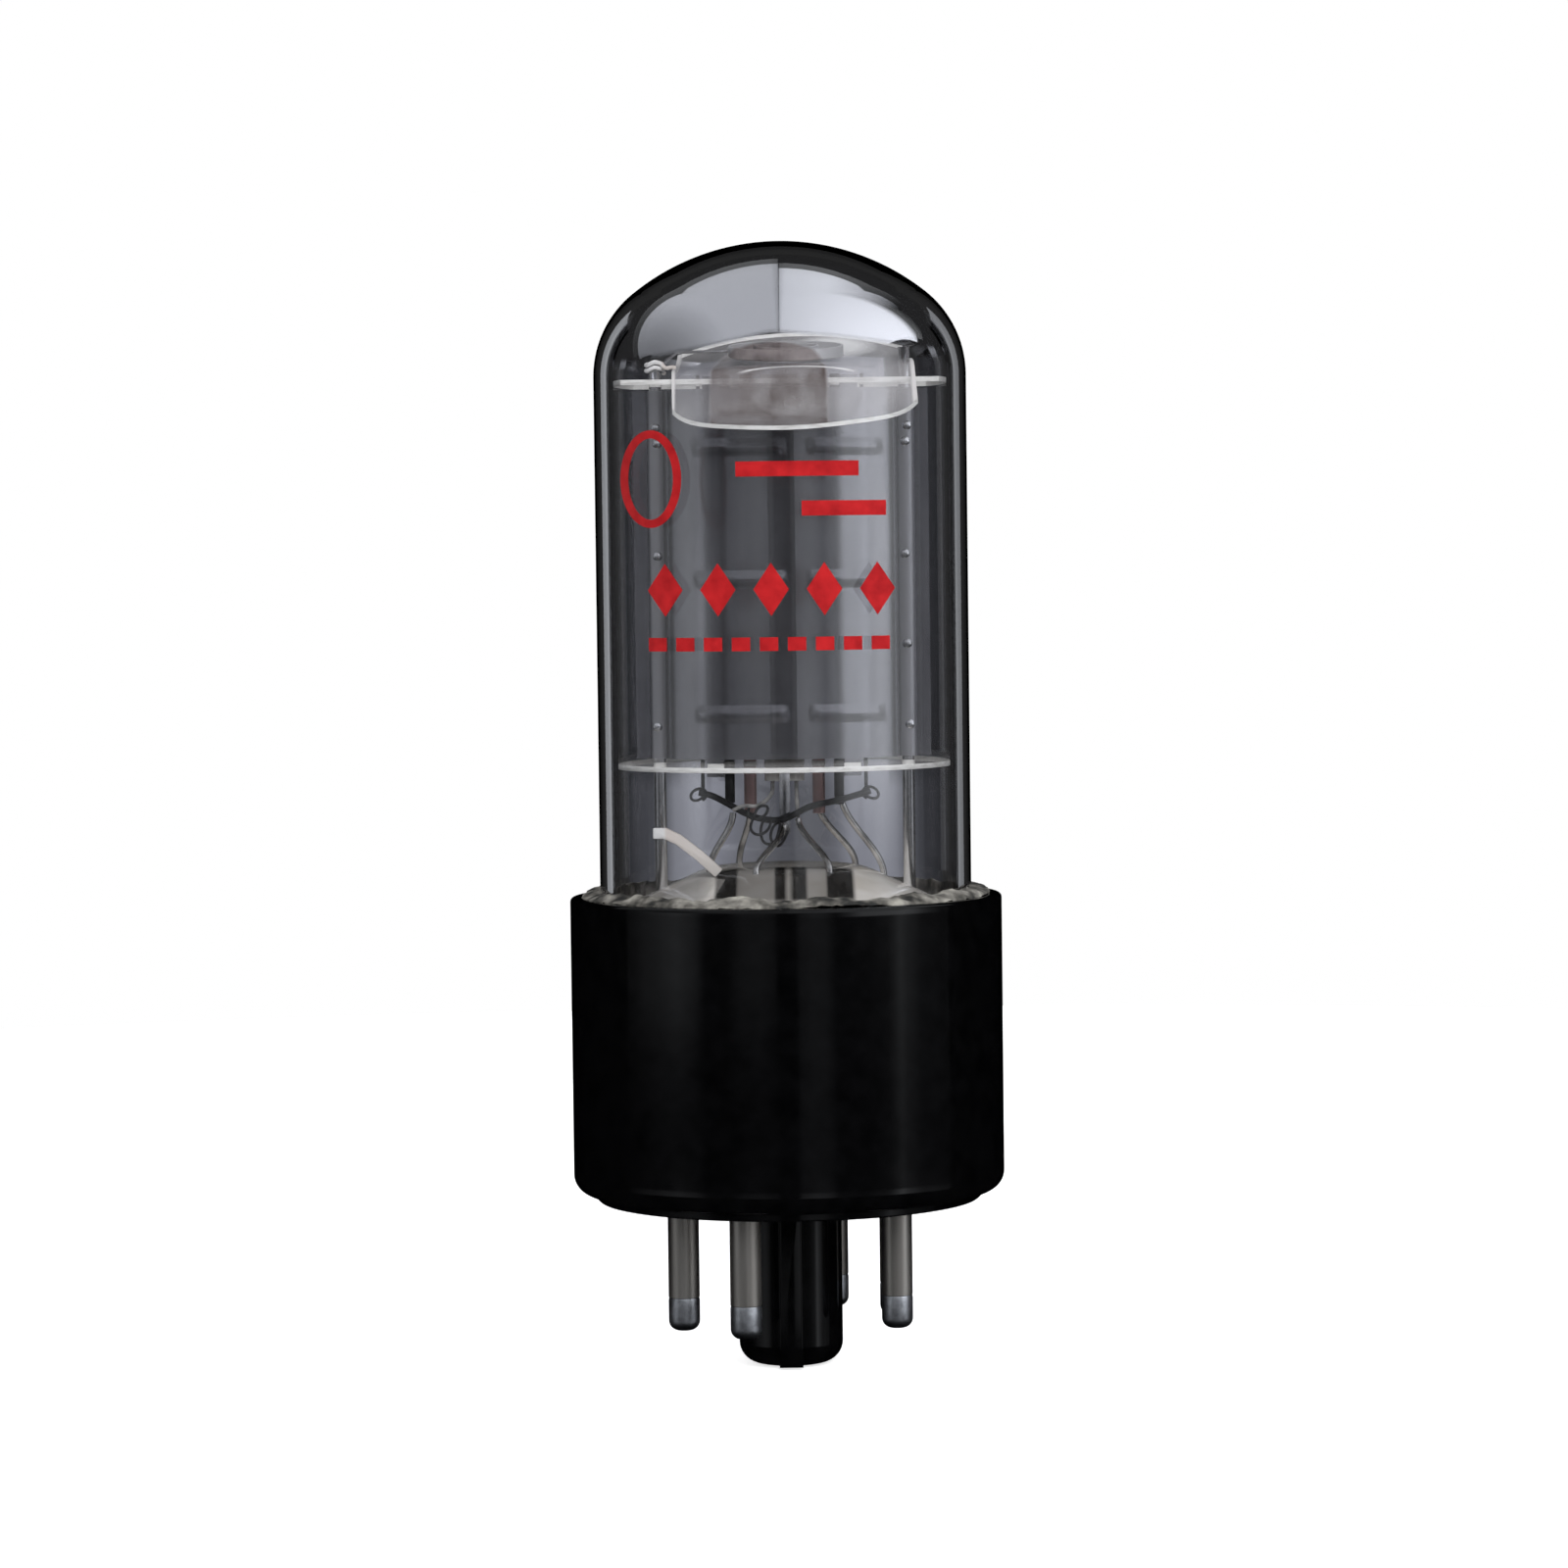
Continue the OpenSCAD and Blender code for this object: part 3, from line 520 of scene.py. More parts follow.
nickel_tube = new_material("nickel_tube", (0.50, 0.47, 0.43), 0.26, 1.0)
mottle(nickel_tube, (0.42, 0.39, 0.36), (0.66, 0.63, 0.59), 900, (1, 1, 0.05), low=0.25)
range_by(nickel_tube, pattern(nickel_tube, 1500, (1, 1, 0.04)), 0.34, 0.50, "Roughness")
bump_by(nickel_tube, pattern(nickel_tube, 1600, (1, 1, 0.03)), 0.25, 0.02)

solder = new_material("solder", (0.62, 0.65, 0.70), 0.40, 1.0)
mottle(solder, (0.38, 0.39, 0.42), (0.66, 0.68, 0.72), 1100, detail=5.0)
bump_by(solder, pattern(solder, 900, detail=5.0), 0.7, 0.10)

lead_wire = new_material("lead_wire", (0.55, 0.54, 0.52), 0.24, 1.0)
mottle(lead_wire, (0.34, 0.33, 0.32), (0.72, 0.71, 0.69), 600)

mica_face = new_material("mica_face", (0.62, 0.60, 0.58), 0.22, Alpha=0.20)
mottle(mica_face, (0.50, 0.48, 0.46), (0.75, 0.73, 0.71), 350, detail=5.0)
bump_by(mica_face, pattern(mica_face, 500, detail=3.0), 0.2, 0.05)

mica_edge = new_material("mica_edge", (0.90, 0.90, 0.88), 0.5)
mottle(mica_edge, (0.66, 0.65, 0.63), (0.95, 0.95, 0.93), 900, (1, 1, 6), detail=4.0, low=0.25, high=0.55)

bright_nickel = new_material("bright_nickel", (0.62, 0.62, 0.63), 0.20, 1.0)
mottle(bright_nickel, (0.44, 0.44, 0.45), (0.78, 0.78, 0.79), 700, (1, 1, 0.2))
bump_by(bright_nickel, pattern(bright_nickel, 1500, (1, 1, 0.2)), 0.3, 0.03)

carbon_black = new_material("carbon_black", (0.02, 0.02, 0.021), 0.55, 0.3)
mottle(carbon_black, (0.012, 0.012, 0.013), (0.045, 0.045, 0.047), 900)
bump_by(carbon_black, pattern(carbon_black, 1800), 0.4, 0.03)

copper = new_material("copper_rod", (0.42, 0.24, 0.22), 0.38, 0.9)
mottle(copper, (0.26, 0.15, 0.15), (0.52, 0.33, 0.31), 500, (1, 1, 0.3))

grid_wire = new_material("grid_wire", (0.55, 0.53, 0.50), 0.30, 1.0)
mottle(grid_wire, (0.42, 0.40, 0.38), (0.66, 0.64, 0.61), 900)

cathode_coat = new_material("cathode_coat", (0.80, 0.79, 0.76), 0.8)
mottle(cathode_coat, (0.62, 0.60, 0.57), (0.86, 0.85, 0.82), 1500)
bump_by(cathode_coat, pattern(cathode_coat, 2500), 0.5, 0.03)

heater_coat = new_material("heater_coat", (0.30, 0.30, 0.30), 0.7)
mottle(heater_coat, (0.16, 0.16, 0.16), (0.50, 0.49, 0.48), 1200)
bump_by(heater_coat, pattern(heater_coat, 2500), 0.5, 0.03)

cream_strip = new_material("cream_strip", (0.80, 0.74, 0.68), 0.35, 0.15)
colour_by(cream_strip, along(cream_strip, "X", -9.75, -4.9),
          [(0.0, (0.95, 0.95, 0.95)), (0.16, (0.93, 0.92, 0.91)), (0.20, (0.78, 0.71, 0.66)),
           (1.0, (0.74, 0.70, 0.66))])
bump_by(cream_strip, pattern(cream_strip, 900, (0.3, 1, 1)), 0.2, 0.03)

red_ink = new_material("red_ink", (0.46, 0.01, 0.012), 0.6, Specular_IOR_Level=0.12)
mottle(red_ink, (0.22, 0.004, 0.006), (0.34, 0.009, 0.011), 900, detail=5.0)
bump_by(red_ink, pattern(red_ink, 1800), 0.3, 0.02)

getter_silver = silver()
stem_glass = cream_glass()
shield_face = milky_mica()
anode_grey = anode_sheet()
cup_metal = stained_cup()


def dress(ob, slot, material, *nodes):
    """Gives a piece its finish and its body, and hides the nodes that it stands for. Its slot is not used."""
    ob.data.materials.clear()
    ob.data.materials.append(material)
    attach(ob, "root")
    if nodes:
        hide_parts(*nodes)
    return ob


def coat_node(node, material):
    """Gives a CAD node that stays as it is its finish."""
    for socket in frame["nodes"][node].material_slots:
        socket.material = material


# Bulb and the silver film in its dome

def dome_line(a, s, b, z, n):
    """A dome of radius a and height b above z, with shoulders of radius s that run into its crown."""
    crown = (a * a - 2 * a * s + b * b) / (2 * (b - s))
    lean = math.degrees(math.atan2(crown - b, a - s))
    return arc(a - s, z, s, 0, lean, n) + arc(0, z + b - crown, crown, lean, 90, n)[1:]


def bulb():
    outer = dome_line(BULB_R, SHOULDER_R, DOME_H, DOME_Z, 18)
    inner = dome_line(BULB_R - GLASS_T, SHOULDER_R - GLASS_T, DOME_H - GLASS_T, DOME_Z, 18)
    foot_in, foot_out = (BULB_R - GLASS_T, FOOT_Z), (BULB_R, FOOT_Z)
    walls = [(BULB_R, z) for z in (30, 42, 54, 61.6)]
    inner_walls = [(BULB_R - GLASS_T, z) for z in (61.6, 54, 42, 30)]
    line = [foot_in, foot_out, *walls, *outer, *reversed(inner), *inner_walls, foot_in]
    return dress(lathe("glass_bulb", line, 144, 60), "bulb_glass", bulb_glass, "glass_envelope")


def silver_film():
    film_t, gap = 0.06, 0.02
    faces = []
    for grow in (GLASS_T + gap, GLASS_T + gap + film_t):
        face = dome_line(BULB_R - grow, SHOULDER_R - grow, DOME_H - grow, DOME_Z, 40)
        faces.append([p for p in face if p[1] >= FILM_EDGE_Z])
    outer, inner = faces
    film = lathe("silver_film", [inner[0], *outer, *reversed(inner)], 144, 60)
    return dress(film, "getter_mirror", getter_silver, "getter_flash")


# Base, key, cement and pins

def base():
    """The moulding, turned in one line from the key's end round to its bore, with the rib joined on."""
    key_end_r, corner_r, rim_r = 1.6, 1.4, 0.3
    seat_r, step_z = 14.6, 0.6
    cavity_r, floor_z = 13.5, 3.0
    bore_r, bore_z = 2.6, -10.6
    line = [(0, -KEY_L), *arc(KEY_R - key_end_r, key_end_r - KEY_L, key_end_r, -90, 0, 10),
            (KEY_R, key_end_r - KEY_L + 0.3), (KEY_R, -0.4), (KEY_R, -0.15), (KEY_R + 0.15, 0),
            (KEY_R + 0.45, 0), (seat_r - 0.4, 0), (seat_r - 0.15, 0), (seat_r, 0.12),
            (seat_r, step_z - 0.08), (seat_r + 0.1, step_z),
            *arc(BASE_R - corner_r, step_z + corner_r, corner_r, -90, 0, 12),
            (BASE_R, step_z + corner_r + 0.4), (BASE_R, BASE_H - 0.7),
            *arc(BASE_R - rim_r, BASE_H - rim_r, rim_r, 0, 90, 4),
            (WELL_R + 0.15, BASE_H), (WELL_R, BASE_H - 0.15), (WELL_R, LEDGE_Z), (cavity_r, LEDGE_Z),
            (cavity_r, floor_z), (bore_r, floor_z), (bore_r, bore_z), (0, bore_z)]
    body = lathe("base_moulding", line, 160)
    rib_w, rib_in, rib_out, rib_top = 1.8, 3.2, 4.95, 0.1
    put_down()
    bpy.ops.mesh.primitive_cube_add(size=MM, location=(0, 0, 0))
    rib = bpy.context.object
    edit_all()
    bpy.ops.transform.resize(value=(rib_w, rib_out - rib_in, rib_top + KEY_L), center_override=(0, 0, 0))
    bpy.ops.transform.translate(value=(0, -(rib_in + rib_out) / 2 * MM, (rib_top - KEY_L) / 2 * MM))
    select_where(rib, "EDGE", lambda p, e: p.y < 0.05 - rib_out and p.z < 0.6 - KEY_L)
    bpy.ops.mesh.bevel(offset=1.7 * MM, segments=8)
    select_where(rib, "EDGE", lambda p, e: p.y < 0.45 - rib_out and abs(p.x) > rib_w / 2 - 0.01)
    bpy.ops.mesh.bevel(offset=0.16 * MM, segments=3)
    leave_edit()
    finish_with(body, "BOOLEAN", operation="UNION", object=rib, solver="EXACT")
    bpy.data.objects.remove(rib)
    smooth(body, 30)
    return dress(body, "bakelite", bakelite, "base_shell")


def cement_bead():
    """The rough ring between glass and rim, with its top pushed about in lumps."""
    crown = [(1.4, 0.02), (1.32, 0.18), (1.1, 0.32), (0.8, 0.45), (0.5, 0.52), (0.2, 0.56), (0, 0.6)]
    line = [(BULB_R, LEDGE_Z), (WELL_R, LEDGE_Z), (WELL_R, BASE_H),
            *[(BULB_R + out, BASE_H + up) for out, up in crown], (BULB_R, LEDGE_Z)]
    bead = lathe("cement_bead", line, 240, 50)
    take(bead)
    edit_all()
    select_where(bead, "VERT", lambda p, v: p.z > BASE_H + 0.01)
    bpy.ops.object.vertex_group_add()
    bpy.ops.object.vertex_group_assign()
    leave_edit()
    for size, depth in ((3.2, 0.75), (0.7, 0.35)):
        lumps = bpy.data.textures.new("cement_lumps", "CLOUDS")
        lumps.cloud_type = "COLOR"
        lumps.noise_scale = size * MM
        finish_with(bead, "DISPLACE", texture=lumps, texture_coords="LOCAL", direction="RGB_TO_XYZ",
                    strength=depth * MM, mid_level=0.5, vertex_group="Group")
    smooth(bead, 40)
    return dress(bead, "cement", cement, "basing_cement")


def pin_place(k):
    """Pin k's place in X and Y. The pins are counted anticlockwise from the rib, seen from above."""
    a = math.radians(270 + 22.5 + 45 * (k - 1))
    return PIN_CIRCLE_R * math.cos(a), PIN_CIRCLE_R * math.sin(a)


def pins():
    bore_r, neck_r, taper_r, root_r, flange_r = 0.9, 1.0, 1.14, 1.43, 1.83
    end_z, tin_z, core_z, root_z, flange_z = -9.2, -7.1, -7.7, 2.8, 3.2
    end_r = 0.75
    tube_line = [(bore_r, end_z), (neck_r, end_z), (neck_r, tin_z), (taper_r, tin_z), (PIN_R, tin_z + 0.05),
                 (PIN_R, tin_z + 0.3), (PIN_R, -0.2), (PIN_R, 0), (root_r, 0.01), (root_r, root_z),
                 (flange_r, root_z), (flange_r, flange_z), (bore_r, flange_z), (bore_r, end_z)]
    tin_line = [(0, -PIN_L), *arc(PIN_R - end_r, end_r - PIN_L, end_r, -90, 0, 8),
                (PIN_R + 0.005, tin_z - 0.2), (taper_r, tin_z), (neck_r, tin_z), (neck_r, end_z),
                (bore_r, end_z), (bore_r, core_z), (LEAD_R, core_z), (LEAD_R, core_z - 0.3),
                (0, core_z - 0.3)]
    tube = lathe("pin_tube_blank", tube_line, 48)
    tin = lathe("pin_tin_blank", tin_line, 48)
    for k in PINS:
        at = (*pin_place(k), 0)
        dress(another(tube, f"pin_tube_{k}", at), "pin_metal", nickel_tube, f"pin_{k}")
        dress(another(tin, f"pin_solder_{k}", at), "tin", solder, f"tin_{k}")
    bpy.data.objects.remove(tube)
    bpy.data.objects.remove(tin)


# Stem, leads and what they meet

# Where each wire leaves the stem, and where its top end is. Number 1 is the spare wire.
STEM_XY = {2: (3.3, -5.2), 4: (7.6, 2.6), 5: (-3.6, 5.0), 7: (-5.7, -2.4), 8: (-2.2, -5.8), 1: (5.4, 3.1)}
TOP_END = {2: (1.0, -0.7, 28.9), 4: (4.3, 0.625, 30.6), 5: (-2.6, 0.725, 29.8), 7: (-3.9, -2.2, 29.5),
           8: (-0.05, -1.13, 28.4), 1: (2.62, 0.725, 29.8)}


def stem_z(x, y):
    """Height of the stem's sloping face."""
    return STEM_TOP_Z - 2.7 * (math.hypot(x, y) - 4.9) / 5.3


def stem():
    tube_r, tube_bore_r, tube_end_z = 2.2, 1.3, -7.4
    under_z = STEM_TOP_Z - 2.0
    top = rounded([(0, STEM_TOP_Z), (5.7, STEM_TOP_Z), (11.5, 22.8), (STEM_R, 20.7)], 1.2)
    line = [*top, (STEM_R, FOOT_Z), (12.2, FOOT_Z), (9.8, 20.7), (4.6, under_z), (tube_r, under_z),
            *arc(0, tube_end_z, tube_r, 0, -90, 8), (0, -8.7), (tube_bore_r, tube_end_z),
            (tube_bore_r, STEM_TOP_Z - 1.0), (0, STEM_TOP_Z - 1.0)]
    return dress(lathe("stem_press", line, 120, 40), "stem_glass", stem_glass, "stem")


def rise(k, n=12):
    """A wire's run in a soft S from the stem's face to its top end."""
    s, e = STEM_XY[k], TOP_END[k]
    z0 = stem_z(*s) + 0.5
    out = []
    for i in range(n + 1):
        t = i / n
        f = t * t * (3 - 2 * t)
        out.append((s[0] + (e[0] - s[0]) * f, s[1] + (e[1] - s[1]) * f, z0 + (e[2] - z0) * t))
    return out


def leads():
    for k in (2, 4, 5, 7, 8):
        low = [(*pin_place(k), z) for z in (-8.0, -2.0, 4.0, 6.5)]
        low += [(*STEM_XY[k], z) for z in (16.0, 18.0, 20.0)]
        dress(bent_wire(f"lead_wire_{k}", low + rise(k), LEAD_R), "lead_wire", lead_wire, f"lead_{k}")
    start = (*STEM_XY[1], stem_z(*STEM_XY[1]) - 1.2)
    dress(bent_wire("spare_wire", [start] + rise(1), LEAD_R), "lead_wire", lead_wire, "spare_lead")
    coat_node("lead_3", lead_wire)


def heater():
    """The folded heater wire inside the cathode, with its two ends below the cage."""
    low, high = LOW_MICA_Z - 0.4, 60.7
    run = [(-3.9, -2.6, 29.7), (-3.2, -2.5, 30.1), (-2.2, -1.9, 29.9), (-1.4, -1.0, 30.3),
           (-0.9, -0.35, 30.9), (-0.9, -0.1, 31.6),
           (-0.9, 0, low), (-0.9, 0, high - 1), (-0.9, 0, high), (-0.6, 0, high + 0.5),
           (-0.3, 0, high), (-0.3, 0, high - 1), (-0.3, 0, low + 1), (-0.3, 0, low), (0, 0, low - 0.6),
           (0.3, 0, low), (0.3, 0, low + 1), (0.3, 0, high - 1), (0.3, 0, high), (0.6, 0, high + 0.5),
           (0.9, 0, high), (0.9, 0, high - 1), (0.9, 0, low), (0.9, -0.1, 31.6), (0.9, -0.35, 30.9),
           (0.95, -0.6, 29.8), (1.0, -0.7, 29.0)]
    dress(bent_wire("heater_wire", run, 0.15), "heater_coat", heater_coat, "heater")


def strap():
    """The dark wire that joins both beam plates, with a small loop at each end."""
    z, end_x = LOW_MICA_Z - 1.9, 6.2
    sag = [(-6.5, 0), (-6.0, -0.08), (-5.3, -0.3), (-4.2, -0.92), (-3.05, -1.6), (-2.1, -1.98),
           (-1.2, -2.15), (-0.4, -2.15), (0.2, -2.0), (0.95, -1.62), (1.6, -1.25), (2.5, -0.98),
           (3.6, -0.8), (5.1, -0.42), (6.5, 0)]
    wire = bent_wire("strap_wire", [(x, -1.12, z + down) for x, down in sag], 0.25)
    dress(wire, "dark_metal", carbon_black, "beam_strap")
    loops = []
    for side in (-1, 1):
        ring = []
        for a in (math.radians(d) for d in range(-60, 331, 30)):
            out = end_x + 0.3 - 0.62 * math.cos(a)
            ring.append((side * out, -1.0 + 0.35 * math.sin(a), z - 0.15 + 0.45 * math.sin(a * 1.1)))
        loops.append(bent_wire("strap_end", ring, 0.11))
    dress(join("strap_ends", loops), "dark_metal", carbon_black, "beam_strap")


def loose_knot():
    """The knot of loose heater wire below the cage."""
    knot = [(-2.6, -1.6, 30.0), (-3.0, -1.9, 29.3), (-2.2, -2.2, 28.9), (-1.4, -2.4, 29.3),
            (-1.2, -2.1, 30.0), (-2.0, -1.9, 30.0), (-2.4, -2.1, 29.1), (-2.7, -2.4, 28.2),
            (-2.0, -2.5, 27.7), (-1.2, -2.3, 28.2), (-1.0, -2.0, 29.0), (-1.7, -1.8, 28.9),
            (-1.9, -2.0, 27.9), (-1.6, -2.3, 27.1), (-0.8, -2.4, 27.1), (-0.5, -2.2, 27.9),
            (-0.3, -1.9, 28.8), (-0.9, -1.7, 28.5), (-1.2, -1.9, 27.5), (-0.6, -2.2, 26.8),
            (-0.1, -2.0, 27.3), (0.2, -1.8, 28.0)]
    dress(bent_wire("heater_tail", knot, 0.11), "heater_coat", carbon_black, "heater")


# Micas and the bowed shield

def whiten_edges(plate, flatness):
    """The face of a mica is clear and its cut edge white, so the edge faces get their own finish."""
    plate.data.materials.append(mica_edge)
    take(plate)
    edit_all()
    select_where(plate, "FACE", lambda p, f: abs(f.normal.z) < flatness)
    plate.active_material_index = 1
    bpy.ops.object.material_slot_assign()
    leave_edit()


def mica(node, name):
    plate = from_cad(node, name, bevel=0.04)
    dress(plate, "mica", mica_face, node)
    whiten_edges(plate, 0.6)


def shield_height(y):
    """Height of the sheet's underside at y: a smooth curve through marks of y and height."""
    marks = [(-11.6, 58.1), (-7.4, 59.7), (-5.35, 62.5), (-4.2, 62.85), (0, 63.15), (4, 63.8), (7.4, 64.6),
             (11.6, 66.35)]
    last = len(marks) - 1
    i = max(0, min(last - 1, next((j - 1 for j, m in enumerate(marks) if m[0] > y), last - 1)))
    (y0, z0), (y1, z1) = marks[i], marks[i + 1]
    slope = [(b[1] - a[1]) / (b[0] - a[0]) for a, b in zip(marks, marks[1:])]
    m0 = slope[0] if i == 0 else (slope[i - 1] + slope[i]) / 2
    m1 = slope[-1] if i == last - 1 else (slope[i] + slope[i + 1]) / 2
    h, t = y1 - y0, (y - y0) / (y1 - y0)
    return ((2 * t**3 - 3 * t**2 + 1) * z0 + (t**3 - 2 * t**2 + t) * h * m0
            + (3 * t**2 - 2 * t**3) * z1 + (t**3 - t**2) * h * m1)


def shield():
    """A sheet drawn out from its bowed line, cut with rounded ends and set a little off level."""
    half, reach, shift, cuts = 8.9, 11.5, 0.95, 36
    sheet_t, rise_up, lean = 0.3, 0.11, 2
    sheet = first_point("mica_bow_sheet")
    draw_line([(-half, y, shield_height(y) + rise_up) for y in (-11.6 + 0.4 * i for i in range(59))])
    bpy.ops.mesh.select_all(action="SELECT")
    for _ in range(cuts):
        bpy.ops.mesh.extrude_region_move(TRANSFORM_OT_translate={"value": (2 * half / cuts * MM, 0, 0)})
    leave_edit()
    finish_with(sheet, "SOLIDIFY", thickness=sheet_t * MM, offset=0.0)
    put_down()
    bpy.ops.mesh.primitive_cylinder_add(vertices=128, radius=reach * MM, depth=20 * MM,
                                        location=(0, 0, 62 * MM))
    cutter = bpy.context.object
    finish_with(sheet, "BOOLEAN", operation="INTERSECT", object=cutter, solver="EXACT")
    bpy.data.objects.remove(cutter)
    move_mesh(sheet, (shift, 0, 0), turn=lean, axis="Y", about=(0, 0, 63))
    dress(sheet, "shield_mica", shield_face, "mica_shield")
    whiten_edges(sheet, 0.45)
    smooth(sheet, 40)


def shield_eyelet():
    """The crumpled metal loop round the left rod that holds the sheet's side."""
    turns = [(-ROD_X + 0.68 * math.cos(a), 0.66 * math.sin(a), 62.75 + 0.12 * math.sin(3 * a) + 0.07 * a)
             for a in (math.radians(d) for d in range(0, 691, 30))]
    tail = [(-8.9, -0.75, 63.4), (-8.55, -0.95, 63.05), (-8.2, -0.9, 63.2), (-7.9, -0.7, 63.15)]
    dress(bent_wire("shield_eyelet", turns + tail, 0.17), "cream_metal", cream_strip)


# Anode and the rods

def anode_chain():
    """The anode sheet's line from the right wing to the left one, as x and y."""
    crimp_r = 0.6
    crimp = [(ROD_X + crimp_r * math.cos(a), crimp_r * math.sin(a))
             for a in (math.radians(d) for d in range(-12, -169, -12))]
    half = rounded([(11.2, -0.125), (10.2, -0.125)], 0.1) + crimp
    bends = rounded([crimp[-1], (8.72, -0.3), (8.35, -2.1), (6.0, -3.7), (4.2, -4.4), (1.1, -4.74)], 0.5)
    bends += [(1.04, -4.4), (0.0, -4.4)]
    half = half[:-1] + bends
    return resampled(half + [(-x, y) for x, y in reversed(half[:-1])], 0.34)


def anode_shell():
    """The front half: the sheet's line drawn up in rows, its ribs pushed out, a tab pair at each end."""
    chain = anode_chain()
    ribs = (37.0, 47.1, 57.0)
    rib_rows = [side * d for d in (0.08, 0.36, 0.66, 0.72, 0.95) for side in (-1, 1)]
    rows = [ANODE_Z0, ANODE_Z1, 34.6, 40.5, 43.8, 50.5, 53.7, 60.2]
    rows = sorted(rows + [z + d for z in ribs for d in rib_rows])
    shell = first_point("anode_shell")
    draw_line([(x, y, rows[0]) for x, y in chain])
    bpy.ops.mesh.select_all(action="SELECT")
    for low, high in zip(rows, rows[1:]):
        bpy.ops.mesh.extrude_region_move(TRANSFORM_OT_translate={"value": (0, 0, (high - low) * MM)})
    for z in ribs:
        for lift, reach in ((0.09, 0.4), (0.06, 0.1)):
            for x0, x1 in ((-6.3, 0.2), (2.1, 7.4)):
                select_where(shell, "VERT", lambda p, v: abs(p.z - z) < reach and x0 < p.x < x1)
                bpy.ops.transform.translate(value=(0, -lift * MM, 0))
    for edge_z, far in ((ANODE_Z1, 0.92), (ANODE_Z0, -1.3)):
        select_where(shell, "EDGE", lambda p, e: abs(p.z - edge_z) < 0.01 and 4.5 < abs(p.x) < 5.7)
        bpy.ops.mesh.extrude_region_move(TRANSFORM_OT_translate={"value": (0, 0, far * MM)})
    leave_edit()
    finish_with(shell, "SOLIDIFY", thickness=SHEET_T * MM, offset=0.0, use_even_offset=True)
    take(shell)
    edit_all()
    bpy.ops.mesh.normals_make_consistent(inside=False)
    leave_edit()
    smooth(shell, 38)
    return shell


def anodes():
    front = anode_shell()
    back = another(front, "anode_back_shell", (0, 0, 0))
    front.name = "anode_front_shell"
    take(back)
    edit_all()
    bpy.ops.transform.resize(value=(1, -1, 1), center_override=(0, 0, 0))
    bpy.ops.mesh.normals_make_consistent(inside=False)
    leave_edit()
    dress(front, "anode_metal", anode_grey, "anode_front")
    dress(back, "anode_metal", anode_grey, "anode_back")


def welds():
    """The row of spot welds on each crimp, front and back."""
    line = [(0, 0.10), (0.16, 0.11), (0.26, 0.06), (0.34, 0.02), (0.38, -0.06), (0, -0.06)]
    blank = lathe("weld_blank", line, 20, 50)
    spots = []
    for side in (-1, 1):
        for i, z in enumerate((36.0, 42.1, 48.9, 57.4, 58.6)):
            for face in (-1, 1):
                spot = another(blank, "weld_spot", (0, 0, 0))
                move_mesh(spot, turn=90 * face, axis="X")
                x = side * ROD_X + 0.12 * math.sin(5 * i + side)
                move_mesh(spot, (x, face * 0.70, z))
                spots.append(spot)
    bpy.data.objects.remove(blank)
    dress(join("weld_spots", spots), "rod_metal", bright_nickel)


def small_metal():
    """Rods, plates and strips that keep the CAD's shape, with their edges broken."""
    pieces = []
    for side in ("left", "right"):
        pieces += [(f"anode_rod_{side}", f"side_rod_{side}", 0.05, "rod_metal", bright_nickel),
                   (f"grid_1_rod_{side}", f"copper_rod_{side}", 0.05, "copper", copper),
                   (f"grid_2_rod_{side}", f"screen_rod_{side}", 0.05, "dark_metal", carbon_black),
                   (f"beam_plate_{side}", f"beam_former_{side}", 0.03, "dark_metal", carbon_black)]
    pieces += [("cathode_sleeve", "cathode_tube", 0.02, "cathode_coat", cathode_coat),
               ("cathode_tab", "cathode_foot", 0.03, "rod_metal", bright_nickel),
               ("stem_brace", "cream_brace", 0.08, "cream_metal", cream_strip),
               ("getter_support", "cup_carrier", 0.04, "rod_metal", bright_nickel)]
    for node, name, bevel, slot, material in pieces:
        dress(from_cad(node, name, bevel), slot, material, node)
    coat_node("grid_1_winding", grid_wire)
    coat_node("grid_2_winding", grid_wire)


def getter_cup():
    """The ring-shaped cup, a round channel open at the top, set a little off level."""
    hole_r, cup_r, wall, high = 2.3, 4.4, 0.2, 0.9
    ease, fillet = 0.04, 0.05
    line = [(hole_r, 0.1), (hole_r + 0.06, 0.02), (hole_r + wall, 0), (cup_r - 0.1, 0), (cup_r, 0.1),
            (cup_r, high - ease), (cup_r - ease, high), (cup_r - wall + ease, high),
            (cup_r - wall, high - ease), (cup_r - wall, wall + fillet), (cup_r - wall - fillet, wall),
            (hole_r + wall + fillet, wall), (hole_r + wall, wall + fillet), (hole_r + wall, high - ease),
            (hole_r + wall - ease, high), (hole_r + ease, high), (hole_r, high - ease), (hole_r, 0.1)]
    cup = lathe("getter_ring_cup", line, 96, 40)
    move_mesh(cup, turn=-8, axis="X")
    move_mesh(cup, (0.5, 1.7, 64.05))
    return dress(cup, "getter_metal", cup_metal, "getter_cup")


# Plain red shapes where the bulb was printed

